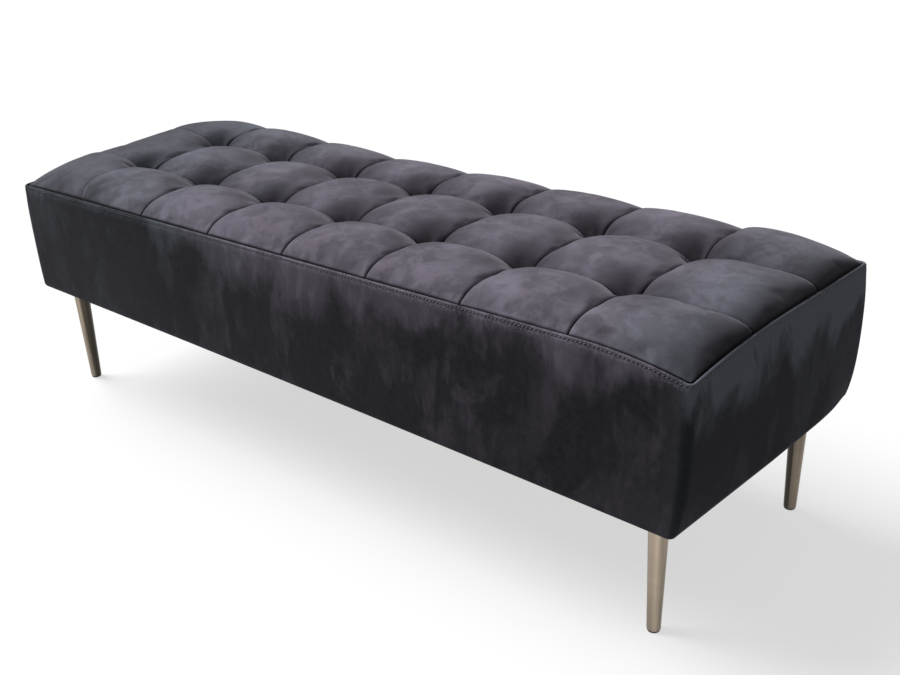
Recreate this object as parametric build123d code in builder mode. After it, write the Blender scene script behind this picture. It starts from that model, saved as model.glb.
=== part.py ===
"""A long bench pouf: a padded velvet box with a tufted top, on four tapered metal legs.

Sizes are in millimetres. The origin is on the floor under the middle of the seat,
+X runs along the length, the front faces -Y and +Z is up.
"""

import os
from math import sqrt

from build123d import *

os.makedirs("parts", exist_ok=True)

# The padded box, measured over its velvet
LENGTH = 1400.0  # over the swollen ends
WIDTH = 470.0  # over the swollen front and back
BOX_HEIGHT = 215.0  # from the underside to the top seam
SIDE_SWELL = 6.0  # how far the sides stand out past the top seam
SWELL_HEIGHT = 128.0  # from the underside to the fullest part of the sides
FOOT_INSET = 3.0  # how far the foot of the front and back stands in from their fullest part
END_FOOT_INSET = 13.0  # how far the foot of the ends stands in from their fullest part
CORNER_RADIUS = 20.0  # of the upright corners, seen from above
HEM_ROUND = 6.0  # of the bottom edge
SEAM_DIP = 12.0  # how much lower the top seam is at the corners
DIP_REACH = 170.0  # along the front and back, where the seam dips to a corner

# The tufted top panel
COLUMNS = 8
ROWS = 3
EDGE_ROW = 143.0  # depth of the front and back rows, which roll over to the seam
CROWN = 26.0  # crest of each pillow above the top seam
SEAM_CREST_EDGE = 18.0  # crest of a cross seam in the front and back rows
SEAM_CREST_MIDDLE = 13.0  # crest of a cross seam in the rows between
LONG_SEAM_CREST = 14.0  # crest of a lengthwise seam between two tufts
TUFT_THICKNESS = 2.5  # of the panel where the twine pulls it down
RIM_THICKNESS = 2.0  # of the panel along the top seam
RIM_FULLNESS = 1.0  # how much thicker the rim is in the middle of each pillow at the ends

# Cloth and padding
COVER_THICKNESS = 2.0  # velvet with its backing
HEM_WIDTH = 36.0  # turned under the frame
DUST_THICKNESS = 1.0
DUST_INSET = 14.0  # from the foot of the sides
FOOT_PADDING = 10.0  # padding on the rails at the foot of the sides
FOAM_THICKNESS = 60.0

# The wooden frame
RAIL_THICKNESS = 18.0
CROSS_HEIGHT = 90.0
CROSS_CELLS = 1.5  # from the middle to each cross rail, in columns of the top
DECK_THICKNESS = 12.0
BLOCK_SIDE = 50.0
BLOCK_HEIGHT = 70.0
BLOCK_CHAMFER = 18.0

# The legs
LEG_HEIGHT = 188.0  # from the floor to the underside of the box
LEG_INSET_X = 62.0  # leg axis from the overall ends
LEG_INSET_Y = 44.0  # leg axis from the overall front and back
LEG_TOP_DIAMETER = 28.0
LEG_FOOT_DIAMETER = 19.0
LEG_WALL = 1.5
LEG_CAP = 8.0  # thickness of the welded cap at the top of the tube
LEG_FOOT_ROUND = 1.0
GLIDE_LIP = 3.0  # height of the glide below the tube
GLIDE_LIP_WIDTH = 0.6  # ring that the lip covers outside the tube's bore
GLIDE_PLUG = 12.0  # how far the glide reaches up the tube
GLIDE_ROUND = 1.2
PLATE_SIDE = 44.0
PLATE_THICKNESS = 3.0
PLATE_CORNER = 5.0
BOSS_DIAMETER = 16.0
BOSS_HEIGHT = 5.0
STUD_DIAMETER = 8.0
STUD_RISE = 18.0  # above the plate
PLATE_SCREW_SPACING = 30.0

# Screws: shank diameter, head diameter and length
LEG_SCREW = (4.0, 7.5, 25.0)
FRAME_SCREW = (4.5, 8.5, 60.0)
DECK_SCREW = (4.0, 7.5, 38.0)
FRAME_SCREW_MARGIN = 32.0  # from a rail's top and bottom edges
DECK_SCREW_MARGIN = 60.0  # from the deck's ends
DECK_SCREW_COUNT = 5  # along each long rail

# Tufting
TWINE_DIAMETER = 2.4
KNOT_DIAMETER = 7.0
KNOT_HEIGHT = 4.0
WASHER_DIAMETER = 20.0
WASHER_THICKNESS = 1.5

# Clearances
SOFT_GAP = 0.3  # between soft pieces that lie against each other
SCREW_FIT = 0.15  # round a screw or stud in its hole
TWINE_FIT = 0.25  # round a twine
GLIDE_FIT = 0.1  # round a glide's plug
STUD_ROOM = 1.0  # round and above a stud in the wood
TRIM = 8.0  # height that is cut away along the top seam

# Heights above the floor
BOTTOM_Z = LEG_HEIGHT
SEAM_Z = BOTTOM_Z + BOX_HEIGHT
SWELL_Z = BOTTOM_Z + SWELL_HEIGHT
RAIL_BOTTOM = BOTTOM_Z + COVER_THICKNESS
DECK_TOP = SEAM_Z - FOAM_THICKNESS
DECK_BOTTOM = DECK_TOP - DECK_THICKNESS
RAIL_HEIGHT = DECK_BOTTOM - RAIL_BOTTOM
DUST_BOTTOM = BOTTOM_Z - DUST_THICKNESS
PLATE_BOTTOM = DUST_BOTTOM - PLATE_THICKNESS
PANEL_FLOOR = SEAM_Z - SEAM_DIP - TRIM

# Half lengths and half widths
SEAM_X = LENGTH / 2 - SIDE_SWELL
SEAM_Y = WIDTH / 2 - SIDE_SWELL
FOOT_X = LENGTH / 2 - END_FOOT_INSET
FOOT_Y = WIDTH / 2 - FOOT_INSET
FRAME_X = FOOT_X - COVER_THICKNESS - FOOT_PADDING
FRAME_Y = FOOT_Y - COVER_THICKNESS - FOOT_PADDING
INNER_X = FRAME_X - RAIL_THICKNESS
INNER_Y = FRAME_Y - RAIL_THICKNESS
LEG_X = LENGTH / 2 - LEG_INSET_X
LEG_Y = WIDTH / 2 - LEG_INSET_Y

# The grid of the top and the rails that follow it
CELL_X = 2 * SEAM_X / COLUMNS
INNER_ROW = 2 * (SEAM_Y - EDGE_ROW) / (ROWS - 2)
CROSS_X = CROSS_CELLS * CELL_X
TUFT_GRID = (CELL_X, INNER_ROW, COLUMNS - 1, ROWS - 1)

SIDES_X = {"left": -1, "right": 1}
SIDES_Y = {"front": -1, "back": 1}
CORNERS = {f"{y}_{x}": (SIDES_X[x], SIDES_Y[y]) for y in SIDES_Y for x in SIDES_X}


def save(part, name):
    """Label a finished piece and write it."""
    part.label = name
    export_step(part, f"parts/{name}.step")


# Shapes that several pieces share


def side_inset(height, foot_inset):
    """How far a padded side stands in from the overall size at a height above the floor."""
    if height > SWELL_Z:
        return SIDE_SWELL * ((height - SWELL_Z) / (SEAM_Z - SWELL_Z)) ** 2
    return foot_inset * ((SWELL_Z - height) / (SWELL_Z - BOTTOM_Z)) ** 2


def swollen_box(inset):
    """The padded box with its swollen sides and rounded hem, shrunk all round by an inset."""
    top = SEAM_Z + TRIM
    stations = (BOTTOM_Z, (BOTTOM_Z + SWELL_Z) / 2, SWELL_Z, (SWELL_Z + top) / 2, top)
    with BuildPart() as box:
        for height in stations:
            length = LENGTH - 2 * (side_inset(height, END_FOOT_INSET) + inset)
            width = WIDTH - 2 * (side_inset(height, FOOT_INSET) + inset)
            with BuildSketch(Plane.XY.offset(height)):
                RectangleRounded(length, width, CORNER_RADIUS - inset)
        loft()
        if inset > 0:
            split(bisect_by=Plane.XY.offset(BOTTOM_Z + inset), keep=Keep.TOP)
        fillet(box.faces().sort_by(Axis.Z)[0].edges(), HEM_ROUND - inset)
    return box.part


def seam_drop(run, reach):
    """How far the top seam has dropped on its arc, at a run along the arc's reach."""
    radius = (reach**2 + SEAM_DIP**2) / (2 * SEAM_DIP)
    return radius - sqrt(radius**2 - run**2)


def front_seam_height(x):
    """Height of the top seam along the front and back: level, then an arc down to each corner."""
    return SEAM_Z - seam_drop(max(0.0, abs(x) - SEAM_X + DIP_REACH), DIP_REACH)


def end_seam_height(y):
    """Height of the top seam along the ends: one arc from corner to corner."""
    return SEAM_Z - seam_drop(abs(y), SEAM_Y)


def below_seam(gap):
    """All the space under the top seam, lowered by a gap."""
    top = SEAM_Z - gap
    low = top - SEAM_DIP
    level = SEAM_X - DIP_REACH
    with BuildPart() as space:
        with BuildSketch(Plane.XZ):
            with BuildLine():
                Line((-level, top), (level, top))
                right = TangentArc((level, top), (SEAM_X, low), tangent=(1, 0))
                left = TangentArc((-level, top), (-SEAM_X, low), tangent=(-1, 0))
                Polyline(right @ 1, (LENGTH, low), (LENGTH, 0), (-LENGTH, 0), (-LENGTH, low), left @ 1)
            make_face()
        extrude(amount=WIDTH, both=True)
        with BuildSketch(Plane.YZ):
            with BuildLine():
                arch = ThreePointArc((-SEAM_Y, low), (0, top), (SEAM_Y, low))
                Polyline(arch @ 1, (WIDTH, low), (WIDTH, 0), (-WIDTH, 0), (-WIDTH, low), arch @ 0)
            make_face()
        extrude(amount=LENGTH, both=True)
    return space.part


def screw_form(sizes, fit):
    """A countersunk screw that points up from its head at the origin, grown by a fit for its hole."""
    shank, head, length = sizes
    shank_radius = shank / 2 + fit
    head_radius = head / 2 + fit
    with BuildPart() as screw:
        with BuildSketch(Plane.XZ):
            with BuildLine():
                Polyline(
                    (0, -fit),
                    (head_radius, -fit),
                    (shank_radius, (head - shank) / 2),
                    (shank_radius, length - shank),
                    (0, length + fit),
                    close=True,
                )
            make_face()
        revolve(axis=Axis.Z)
    return screw.part


def placed(shape, places):
    """Copies of one shape at a list of places, as one group of separate solids."""
    with BuildPart() as group:
        with Locations(*places):
            add(shape)
    return group.part


under_seam = below_seam(0)
under_panel = below_seam(SOFT_GAP)
under_velvet = swollen_box(COVER_THICKNESS)

# Where the screws go
leg_screw_places = [
    Location((x * LEG_X + dx, y * LEG_Y + dy, PLATE_BOTTOM))
    for x, y in CORNERS.values()
    for dx in (-PLATE_SCREW_SPACING / 2, PLATE_SCREW_SPACING / 2)
    for dy in (-PLATE_SCREW_SPACING / 2, PLATE_SCREW_SPACING / 2)
]
rail_screw_heights = (RAIL_BOTTOM + FRAME_SCREW_MARGIN, DECK_BOTTOM - FRAME_SCREW_MARGIN)
cross_screw_heights = (DECK_BOTTOM - CROSS_HEIGHT + FRAME_SCREW_MARGIN, DECK_BOTTOM - FRAME_SCREW_MARGIN)
frame_screw_spots = [(FRAME_X - RAIL_THICKNESS / 2, z) for z in rail_screw_heights]
frame_screw_spots += [(CROSS_X, z) for z in cross_screw_heights]
frame_screw_places = [
    Location((side_x * x, side_y * FRAME_Y, z), (side_y * 90, 0, 0))
    for x, z in frame_screw_spots
    for side_x, side_y in CORNERS.values()
]
deck_screw_step = 2 * (FRAME_X - DECK_SCREW_MARGIN) / (DECK_SCREW_COUNT - 1)
deck_screw_places = [
    Location((x, y * (FRAME_Y - RAIL_THICKNESS / 2), DECK_TOP), (180, 0, 0))
    for x in [DECK_SCREW_MARGIN - FRAME_X + step * deck_screw_step for step in range(DECK_SCREW_COUNT)]
    for y in SIDES_Y.values()
]
leg_screw_holes = placed(screw_form(LEG_SCREW, SCREW_FIT), leg_screw_places)
frame_screw_holes = placed(screw_form(FRAME_SCREW, SCREW_FIT), frame_screw_places)
deck_screw_holes = placed(screw_form(DECK_SCREW, SCREW_FIT), deck_screw_places)

# Room for the plate's boss and the stud in the cloth and the wood above each leg
with BuildPart() as stud_holes:
    for side_x, side_y in CORNERS.values():
        seat = Plane((side_x * LEG_X, side_y * LEG_Y, DUST_BOTTOM))
        with BuildSketch(seat):
            Circle(BOSS_DIAMETER / 2 + SOFT_GAP)
        extrude(amount=BOSS_HEIGHT + SOFT_GAP)
        with BuildSketch(seat):
            Circle(STUD_DIAMETER / 2 + STUD_ROOM)
        extrude(amount=STUD_RISE + STUD_ROOM)

# Long rails, which run the full length of the frame
for name, side in SIDES_Y.items():
    with BuildPart() as long_rail:
        with BuildSketch(Plane.XY.offset(RAIL_BOTTOM)):
            with Locations((0, side * (FRAME_Y - RAIL_THICKNESS / 2))):
                Rectangle(2 * FRAME_X, RAIL_THICKNESS)
        extrude(amount=RAIL_HEIGHT)
        for hole in (leg_screw_holes, stud_holes.part, frame_screw_holes, deck_screw_holes):
            add(hole, mode=Mode.SUBTRACT)
    save(long_rail.part, f"{name}_rail")

# End rails, which butt between the long rails
for name, side in SIDES_X.items():
    with BuildPart() as end_rail:
        with BuildSketch(Plane.XY.offset(RAIL_BOTTOM)):
            with Locations((side * (FRAME_X - RAIL_THICKNESS / 2), 0)):
                Rectangle(RAIL_THICKNESS, 2 * INNER_Y)
        extrude(amount=RAIL_HEIGHT)
        for hole in (leg_screw_holes, stud_holes.part, frame_screw_holes):
            add(hole, mode=Mode.SUBTRACT)
    save(end_rail.part, f"{name}_rail")

# Cross rails, which carry the deck between two columns of tufts
for name, side in SIDES_X.items():
    with BuildPart() as cross_rail:
        with BuildSketch(Plane.XY.offset(DECK_BOTTOM)):
            with Locations((side * CROSS_X, 0)):
                Rectangle(RAIL_THICKNESS, 2 * INNER_Y)
        extrude(amount=-CROSS_HEIGHT)
        add(frame_screw_holes, mode=Mode.SUBTRACT)
    save(cross_rail.part, f"cross_rail_{name}")

# Corner blocks, with the edge that faces into the frame taken off
for name, (side_x, side_y) in CORNERS.items():
    with BuildPart() as corner_block:
        with BuildSketch(Plane.XY.offset(RAIL_BOTTOM)):
            with Locations((side_x * (INNER_X - BLOCK_SIDE / 2), side_y * (INNER_Y - BLOCK_SIDE / 2))):
                Rectangle(BLOCK_SIDE, BLOCK_SIDE)
        extrude(amount=BLOCK_HEIGHT)
        inward = Axis((0, 0, 0), (-side_x, -side_y, 0))
        chamfer(corner_block.edges().filter_by(Axis.Z).sort_by(inward)[-1], BLOCK_CHAMFER)
        for hole in (leg_screw_holes, stud_holes.part):
            add(hole, mode=Mode.SUBTRACT)
    save(corner_block.part, f"corner_block_{name}")

# Deck, drilled for the twines
with BuildPart() as deck_board:
    with BuildSketch(Plane.XY.offset(DECK_BOTTOM)):
        Rectangle(2 * FRAME_X, 2 * FRAME_Y)
        with GridLocations(*TUFT_GRID):
            Circle(TWINE_DIAMETER / 2 + TWINE_FIT, mode=Mode.SUBTRACT)
    extrude(amount=DECK_THICKNESS)
    add(deck_screw_holes, mode=Mode.SUBTRACT)
save(deck_board.part, "deck_board")

# Seat foam, trimmed to the dipping seam and pierced for the twines
with BuildPart() as seat_foam:
    with BuildSketch(Plane.XY.offset(DECK_TOP)):
        Rectangle(2 * FRAME_X, 2 * FRAME_Y)
        with GridLocations(*TUFT_GRID):
            Circle(TWINE_DIAMETER / 2 + TWINE_FIT, mode=Mode.SUBTRACT)
    extrude(amount=FOAM_THICKNESS)
    add(under_panel, mode=Mode.INTERSECT)
save(seat_foam.part, "seat_foam")

# Padding sheets on the four sides of the frame, just inside the velvet
with BuildPart() as side_padding:
    add(swollen_box(COVER_THICKNESS + SOFT_GAP))
    add(under_panel, mode=Mode.INTERSECT)
padding_depth_x = LENGTH / 2 - FRAME_X
padding_depth_y = WIDTH / 2 - FRAME_Y
padding_areas = {
    "front": ((0, -FRAME_Y - padding_depth_y / 2), (LENGTH, padding_depth_y)),
    "back": ((0, FRAME_Y + padding_depth_y / 2), (LENGTH, padding_depth_y)),
    "left": ((-FRAME_X - padding_depth_x / 2, 0), (padding_depth_x, 2 * FRAME_Y)),
    "right": ((FRAME_X + padding_depth_x / 2, 0), (padding_depth_x, 2 * FRAME_Y)),
}
for name, (centre, area) in padding_areas.items():
    with BuildPart() as padding:
        add(side_padding.part)
        with BuildSketch():
            with Locations(centre):
                Rectangle(*area)
        extrude(amount=SEAM_Z, mode=Mode.INTERSECT)
    save(padding.part, f"{name}_padding")

# Velvet border: a skin over the padded sides, cut to the top seam, its hem turned under the frame
with BuildPart() as border_cover:
    add(swollen_box(0))
    add(under_velvet, mode=Mode.SUBTRACT)
    with BuildSketch():
        Rectangle(2 * (FOOT_X - HEM_WIDTH), 2 * (FOOT_Y - HEM_WIDTH))
    extrude(amount=SEAM_Z, mode=Mode.SUBTRACT)
    add(under_seam, mode=Mode.INTERSECT)
    for hole in (leg_screw_holes, stud_holes.part):
        add(hole, mode=Mode.SUBTRACT)
save(border_cover.part, "border_cover")

# Cloth under the frame, which covers the hem's raw edge
with BuildPart() as dust_cover:
    with BuildSketch(Plane.XY.offset(DUST_BOTTOM)):
        RectangleRounded(2 * (FOOT_X - DUST_INSET), 2 * (FOOT_Y - DUST_INSET), CORNER_RADIUS)
    extrude(amount=DUST_THICKNESS)
    for hole in (leg_screw_holes, stud_holes.part):
        add(hole, mode=Mode.SUBTRACT)
save(dust_cover.part, "dust_cover")

# Tufted top: each column of pillows is a loft from one cross seam over its crests to the next
tuft_lines = [EDGE_ROW - SEAM_Y + row * INNER_ROW for row in range(ROWS - 1)]
row_lines = [-SEAM_Y, *tuft_lines, SEAM_Y]
row_middles = [(near + far) / 2 for near, far in zip(row_lines, row_lines[1:])]
edge_rows = (0, ROWS - 1)


def panel_cut(x, seams, crests):
    """A cut across the top panel: an arc over each row of pillows, from seam to seam."""
    with BuildSketch(Plane.YZ.offset(x)) as cut:
        with BuildLine():
            for row in range(ROWS):
                start = (row_lines[row], seams[row])
                finish = (row_lines[row + 1], seams[row + 1])
                ThreePointArc(start, (row_middles[row], crests[row]), finish)
            Polyline(
                (row_lines[-1], seams[-1]),
                (row_lines[-1], PANEL_FLOOR),
                (row_lines[0], PANEL_FLOOR),
                (row_lines[0], seams[0]),
            )
        make_face()
    return cut.sketch.face()


def crest_cut(x):
    """The cut over the crests of one column."""
    rim = front_seam_height(x) + RIM_THICKNESS
    inner = [SEAM_Z + LONG_SEAM_CREST] * (ROWS - 1)
    return panel_cut(x, [rim, *inner, rim], [SEAM_Z + CROWN] * ROWS)


def seam_cut(line):
    """The cut along a cross seam, where twines pull it down, or along an end of the top."""
    x = line * CELL_X - SEAM_X
    if line in (0, COLUMNS):
        ends = [end_seam_height(y) + RIM_THICKNESS for y in row_lines]
        crests = [end_seam_height(y) + RIM_THICKNESS + RIM_FULLNESS for y in row_middles]
        return panel_cut(x, ends, crests)
    rim = front_seam_height(x) + RIM_THICKNESS
    inner = [SEAM_Z + TUFT_THICKNESS] * (ROWS - 1)
    crests = [SEAM_Z + (SEAM_CREST_EDGE if row in edge_rows else SEAM_CREST_MIDDLE) for row in range(ROWS)]
    return panel_cut(x, [rim, *inner, rim], crests)


columns = []
for column in range(COLUMNS):
    middle = (column + 0.5) * CELL_X - SEAM_X
    columns.append([seam_cut(column), crest_cut(middle), seam_cut(column + 1)])

with BuildPart() as tufted_top:
    for cuts in columns:
        loft(sections=cuts)
    with BuildSketch(Plane.XY.offset(PANEL_FLOOR)):
        RectangleRounded(2 * SEAM_X, 2 * SEAM_Y, CORNER_RADIUS)
    extrude(amount=SEAM_DIP + TRIM + CROWN + RIM_THICKNESS, mode=Mode.INTERSECT)
    add(under_seam, mode=Mode.SUBTRACT)
save(tufted_top.part, "tufted_top")

# Twines through foam and deck, knotted under their washers
with BuildPart() as tuft_twines:
    with BuildSketch(Plane.XY.offset(DECK_BOTTOM - WASHER_THICKNESS)):
        with GridLocations(*TUFT_GRID):
            Circle(TWINE_DIAMETER / 2)
    extrude(amount=SEAM_Z - DECK_BOTTOM + WASHER_THICKNESS)
    add(under_seam, mode=Mode.INTERSECT)
    with BuildSketch(Plane.XY.offset(DECK_BOTTOM - WASHER_THICKNESS)):
        with GridLocations(*TUFT_GRID):
            Circle(KNOT_DIAMETER / 2)
    extrude(amount=-KNOT_HEIGHT)
save(tuft_twines.part, "tuft_twines")

with BuildPart() as tuft_washers:
    with BuildSketch(Plane.XY.offset(DECK_BOTTOM)):
        with GridLocations(*TUFT_GRID):
            Circle(WASHER_DIAMETER / 2)
            Circle(TWINE_DIAMETER / 2 + TWINE_FIT, mode=Mode.SUBTRACT)
    extrude(amount=-WASHER_THICKNESS)
save(tuft_washers.part, "tuft_washers")

# Each leg: plate under the corner, stud, tapered tube and glide
foot_radius = LEG_FOOT_DIAMETER / 2
top_radius = LEG_TOP_DIAMETER / 2
tube_height = PLATE_BOTTOM - GLIDE_LIP
cap_radius = top_radius - (top_radius - foot_radius) * LEG_CAP / tube_height
bore_radius = foot_radius - LEG_WALL
for name, (side_x, side_y) in CORNERS.items():
    leg_x = side_x * LEG_X
    leg_y = side_y * LEG_Y
    upright = Plane((leg_x, leg_y, 0), x_dir=(1, 0, 0), z_dir=(0, -1, 0))
    leg_axis = Axis((leg_x, leg_y, 0), (0, 0, 1))

    with BuildPart() as leg_plate:
        with BuildSketch(Plane((leg_x, leg_y, PLATE_BOTTOM))):
            RectangleRounded(PLATE_SIDE, PLATE_SIDE, PLATE_CORNER)
        extrude(amount=PLATE_THICKNESS)
        with BuildSketch(Plane((leg_x, leg_y, DUST_BOTTOM))):
            Circle(BOSS_DIAMETER / 2)
        extrude(amount=BOSS_HEIGHT)
        with BuildSketch(Plane((leg_x, leg_y, PLATE_BOTTOM))):
            Circle(STUD_DIAMETER / 2 + SCREW_FIT)
        extrude(amount=PLATE_THICKNESS + BOSS_HEIGHT, mode=Mode.SUBTRACT)
        add(leg_screw_holes, mode=Mode.SUBTRACT)
    save(leg_plate.part, f"leg_plate_{name}")

    with BuildPart() as leg_stud:
        with BuildSketch(Plane((leg_x, leg_y, PLATE_BOTTOM - LEG_CAP))):
            Circle(STUD_DIAMETER / 2)
        extrude(amount=LEG_CAP + PLATE_THICKNESS + STUD_RISE)
    save(leg_stud.part, f"leg_stud_{name}")

    with BuildPart() as leg:
        with BuildSketch(upright) as leg_profile:
            with BuildLine():
                Polyline(
                    (bore_radius, GLIDE_LIP),
                    (foot_radius, GLIDE_LIP),
                    (top_radius, PLATE_BOTTOM),
                    (STUD_DIAMETER / 2 + SCREW_FIT, PLATE_BOTTOM),
                    (STUD_DIAMETER / 2 + SCREW_FIT, PLATE_BOTTOM - LEG_CAP),
                    (cap_radius - LEG_WALL, PLATE_BOTTOM - LEG_CAP),
                    close=True,
                )
            make_face()
            fillet(leg_profile.vertices().group_by(Axis.Y)[0].sort_by(Axis.X)[-1], LEG_FOOT_ROUND)
        revolve(axis=leg_axis)
    save(leg.part, f"leg_{name}")

    with BuildPart() as foot_glide:
        with BuildSketch(Plane((leg_x, leg_y, 0))):
            Circle(bore_radius + GLIDE_LIP_WIDTH)
        extrude(amount=GLIDE_LIP)
        fillet(foot_glide.edges().sort_by(Axis.Z)[0], GLIDE_ROUND)
        with BuildSketch(Plane((leg_x, leg_y, GLIDE_LIP))):
            Circle(bore_radius - GLIDE_FIT)
        extrude(amount=GLIDE_PLUG)
    save(foot_glide.part, f"foot_glide_{name}")

# Screws
save(placed(screw_form(LEG_SCREW, 0), leg_screw_places), "leg_screws")
save(placed(screw_form(FRAME_SCREW, 0), frame_screw_places), "frame_screws")
save(placed(screw_form(DECK_SCREW, 0), deck_screw_places), "deck_screws")
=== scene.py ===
# %% [markdown]
# # A tufted bench in black velvet
#
# This lesson dresses the CAD model of a long bench pouf. The wood, the legs and the screws keep
# their CAD shapes and get finishes. Everything soft is rebuilt here: the tufted top, the velvet
# border, the foam inside and the cloth underneath. Each part of the lesson says what a piece is
# on the real bench and how it could be made, and then makes it.

# %% Load the CAD model as a fixed frame
import math

import bmesh
import bpy
import numpy as np
from mathutils import Matrix, Vector


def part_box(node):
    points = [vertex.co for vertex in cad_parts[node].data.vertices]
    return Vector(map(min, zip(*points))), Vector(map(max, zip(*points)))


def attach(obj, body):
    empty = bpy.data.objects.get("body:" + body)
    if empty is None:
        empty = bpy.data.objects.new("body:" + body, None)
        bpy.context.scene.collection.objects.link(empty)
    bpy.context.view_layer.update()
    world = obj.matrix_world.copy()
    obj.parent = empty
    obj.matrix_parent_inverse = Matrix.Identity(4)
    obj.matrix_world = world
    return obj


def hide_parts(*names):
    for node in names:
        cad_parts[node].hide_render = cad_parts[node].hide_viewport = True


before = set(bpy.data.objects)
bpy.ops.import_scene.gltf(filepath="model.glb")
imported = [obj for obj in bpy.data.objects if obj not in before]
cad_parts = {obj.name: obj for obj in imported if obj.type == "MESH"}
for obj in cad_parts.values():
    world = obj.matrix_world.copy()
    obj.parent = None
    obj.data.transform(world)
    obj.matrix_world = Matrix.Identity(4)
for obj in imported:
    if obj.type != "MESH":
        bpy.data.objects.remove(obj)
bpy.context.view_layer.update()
print("CAD nodes:", len(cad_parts))

# %% [markdown]
# ## Sizes
#
# Every size below is in metres and is read from the CAD boxes where they hold it, so the soft
# pieces follow the frame. What the boxes can't say, such as how far the sides swell, is a named
# value of its own.

# %% Sizes read from the frame
border_low, border_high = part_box("border_cover")
panel_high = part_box("tufted_top")[1]
HALF_LENGTH = border_high.x
HALF_WIDTH = border_high.y
BOTTOM_Z = border_low.z
SEAM_X = panel_high.x
SEAM_Y = panel_high.y
SEAM_Z = border_high.z
DECK_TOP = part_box("deck_board")[1].z
FRAME_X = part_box("front_rail")[1].x
FRAME_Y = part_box("back_rail")[1].y
KNOT_RADIUS = 0.0035
TUFT_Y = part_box("tuft_twines")[1].y - KNOT_RADIUS

COLUMNS = 8
SIDE_SWELL = HALF_LENGTH - SEAM_X
SWELL_HEIGHT = 0.128
FOOT_INSET = 0.003
FOOT_CURVE = 3.0
END_FOOT_INSET = 0.013
CORNER_RADIUS = 0.014
SEAM_CORNER = 0.007
HEM_ROUND = 0.006
HEM_WIDTH = 0.036
VELVET_THICKNESS = 0.002
TINY = 1e-9
print(f"seam {2 * SEAM_X:.3f} by {2 * SEAM_Y:.3f} m at {SEAM_Z:.3f} m, tuft rows at {TUFT_Y:.4f} m")

# %% [markdown]
# ## Camera
#
# The camera comes first, because every later choice is compared with the photograph. Its place
# and angles were found by fitting the bench's corners, tufts and feet to the picture. The
# picture's horizon sits a little high, so the lens is shifted instead of tilting the camera more.

# %% Camera at the photograph's angle
IMAGE_WIDTH = 900
IMAGE_HEIGHT = 675
SENSOR_WIDTH = 36.0
FOCAL_PIXELS = 1202.0
MIDDLE_ROW = 400.0
EYE = Vector((1.3025, -1.3067, 1.0028))
AZIMUTH = math.radians(42.18)
PITCH = math.radians(27.05)
ROLL = math.radians(-2.3)


def linked(name, data):
    """A new object in the scene that holds a camera, a lamp or a mesh."""
    made = bpy.data.objects.new(name, data)
    bpy.context.scene.collection.objects.link(made)
    return made


level = math.cos(PITCH)
forward = Vector((-math.sin(AZIMUTH) * level, math.cos(AZIMUTH) * level, -math.sin(PITCH)))
level_right = Vector((math.cos(AZIMUTH), math.sin(AZIMUTH), 0.0))
level_up = level_right.cross(forward)
right = level_right * math.cos(ROLL) + level_up * math.sin(ROLL)
up = right.cross(forward)

lens = bpy.data.cameras.new("photo_camera")
lens.sensor_width = SENSOR_WIDTH
lens.lens = SENSOR_WIDTH * FOCAL_PIXELS / IMAGE_WIDTH
lens.shift_y = (MIDDLE_ROW - IMAGE_HEIGHT / 2) / IMAGE_WIDTH
camera = linked("photo_camera", lens)
camera.matrix_world = Matrix.Translation(EYE) @ Matrix((right, up, -forward)).transposed().to_4x4()
bpy.context.scene.camera = camera
print(f"lens {lens.lens:.1f} mm, shift {lens.shift_y:.3f}")

# %% [markdown]
# ## Shader maths
#
# Node trees are long to write by hand. One small class wraps a socket, so that sums on sockets
# read as Python and add their own Math nodes. Any other node comes from its `node` method.


# %% A socket that can be used in sums
class Wire:
    """A socket of a node tree. Arithmetic on wires adds Math nodes to that tree."""

    def __init__(self, tree, socket=None):
        self.tree = tree
        self.socket = socket

    def node(self, kind, settings=None, sockets=None, out=0):
        """Add a node: its settings first, then the values or links of its sockets."""
        made = self.tree.nodes.new(kind)
        for name, value in (settings or {}).items():
            setattr(made, name, value)
        for name, value in (sockets or {}).items():
            if isinstance(value, Wire):
                self.tree.links.new(value.socket, made.inputs[name])
            else:
                made.inputs[name].default_value = value
        return Wire(self.tree, made.outputs[out] if made.outputs else None)

    def outputs(self):
        """Every output of this wire's node, by name."""
        return {socket.name: Wire(self.tree, socket) for socket in self.socket.node.outputs}

    def maths(self, operation, first, second=0.0):
        return self.node("ShaderNodeMath", {"operation": operation}, {0: first, 1: second})

    def __add__(self, other):
        return self.maths("ADD", self, other)

    def __sub__(self, other):
        return self.maths("SUBTRACT", self, other)

    def __rsub__(self, other):
        return self.maths("SUBTRACT", other, self)

    def __mul__(self, other):
        return self.maths("MULTIPLY", self, other)

    __radd__ = __add__
    __rmul__ = __mul__

    def step(self, low, high):
        """A smooth mask that is 0 below low and 1 above high."""
        sockets = {"Value": self, "From Min": low, "From Max": high}
        return self.node("ShaderNodeMapRange", {"interpolation_type": "SMOOTHSTEP"}, sockets)

    def mix(self, first, second):
        """A colour between two others, with this wire as the share of the second."""
        return self.node("ShaderNodeMix", {"data_type": "RGBA"}, {0: self, 6: first, 7: second}, 2)


def noise(start, scale, detail=2.0, roughness=0.5, swirl=0.0):
    """Smooth random values, with a scale in waves to the metre or one scale for each axis."""
    place = start.node("ShaderNodeTexCoord", out="Object")
    if isinstance(scale, tuple):
        place = start.node("ShaderNodeMapping", None, {"Vector": place, "Scale": scale})
        scale = 1.0
    sockets = {"Vector": place, "Scale": scale, "Detail": detail, "Roughness": roughness}
    sockets["Distortion"] = swirl
    return start.node("ShaderNodeTexNoise", None, sockets, "Fac")


def bump(start, height, strength, distance):
    """A normal that follows a height in metres."""
    sockets = {"Height": height, "Strength": strength, "Distance": distance}
    return start.node("ShaderNodeBump", None, sockets, "Normal")


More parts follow.
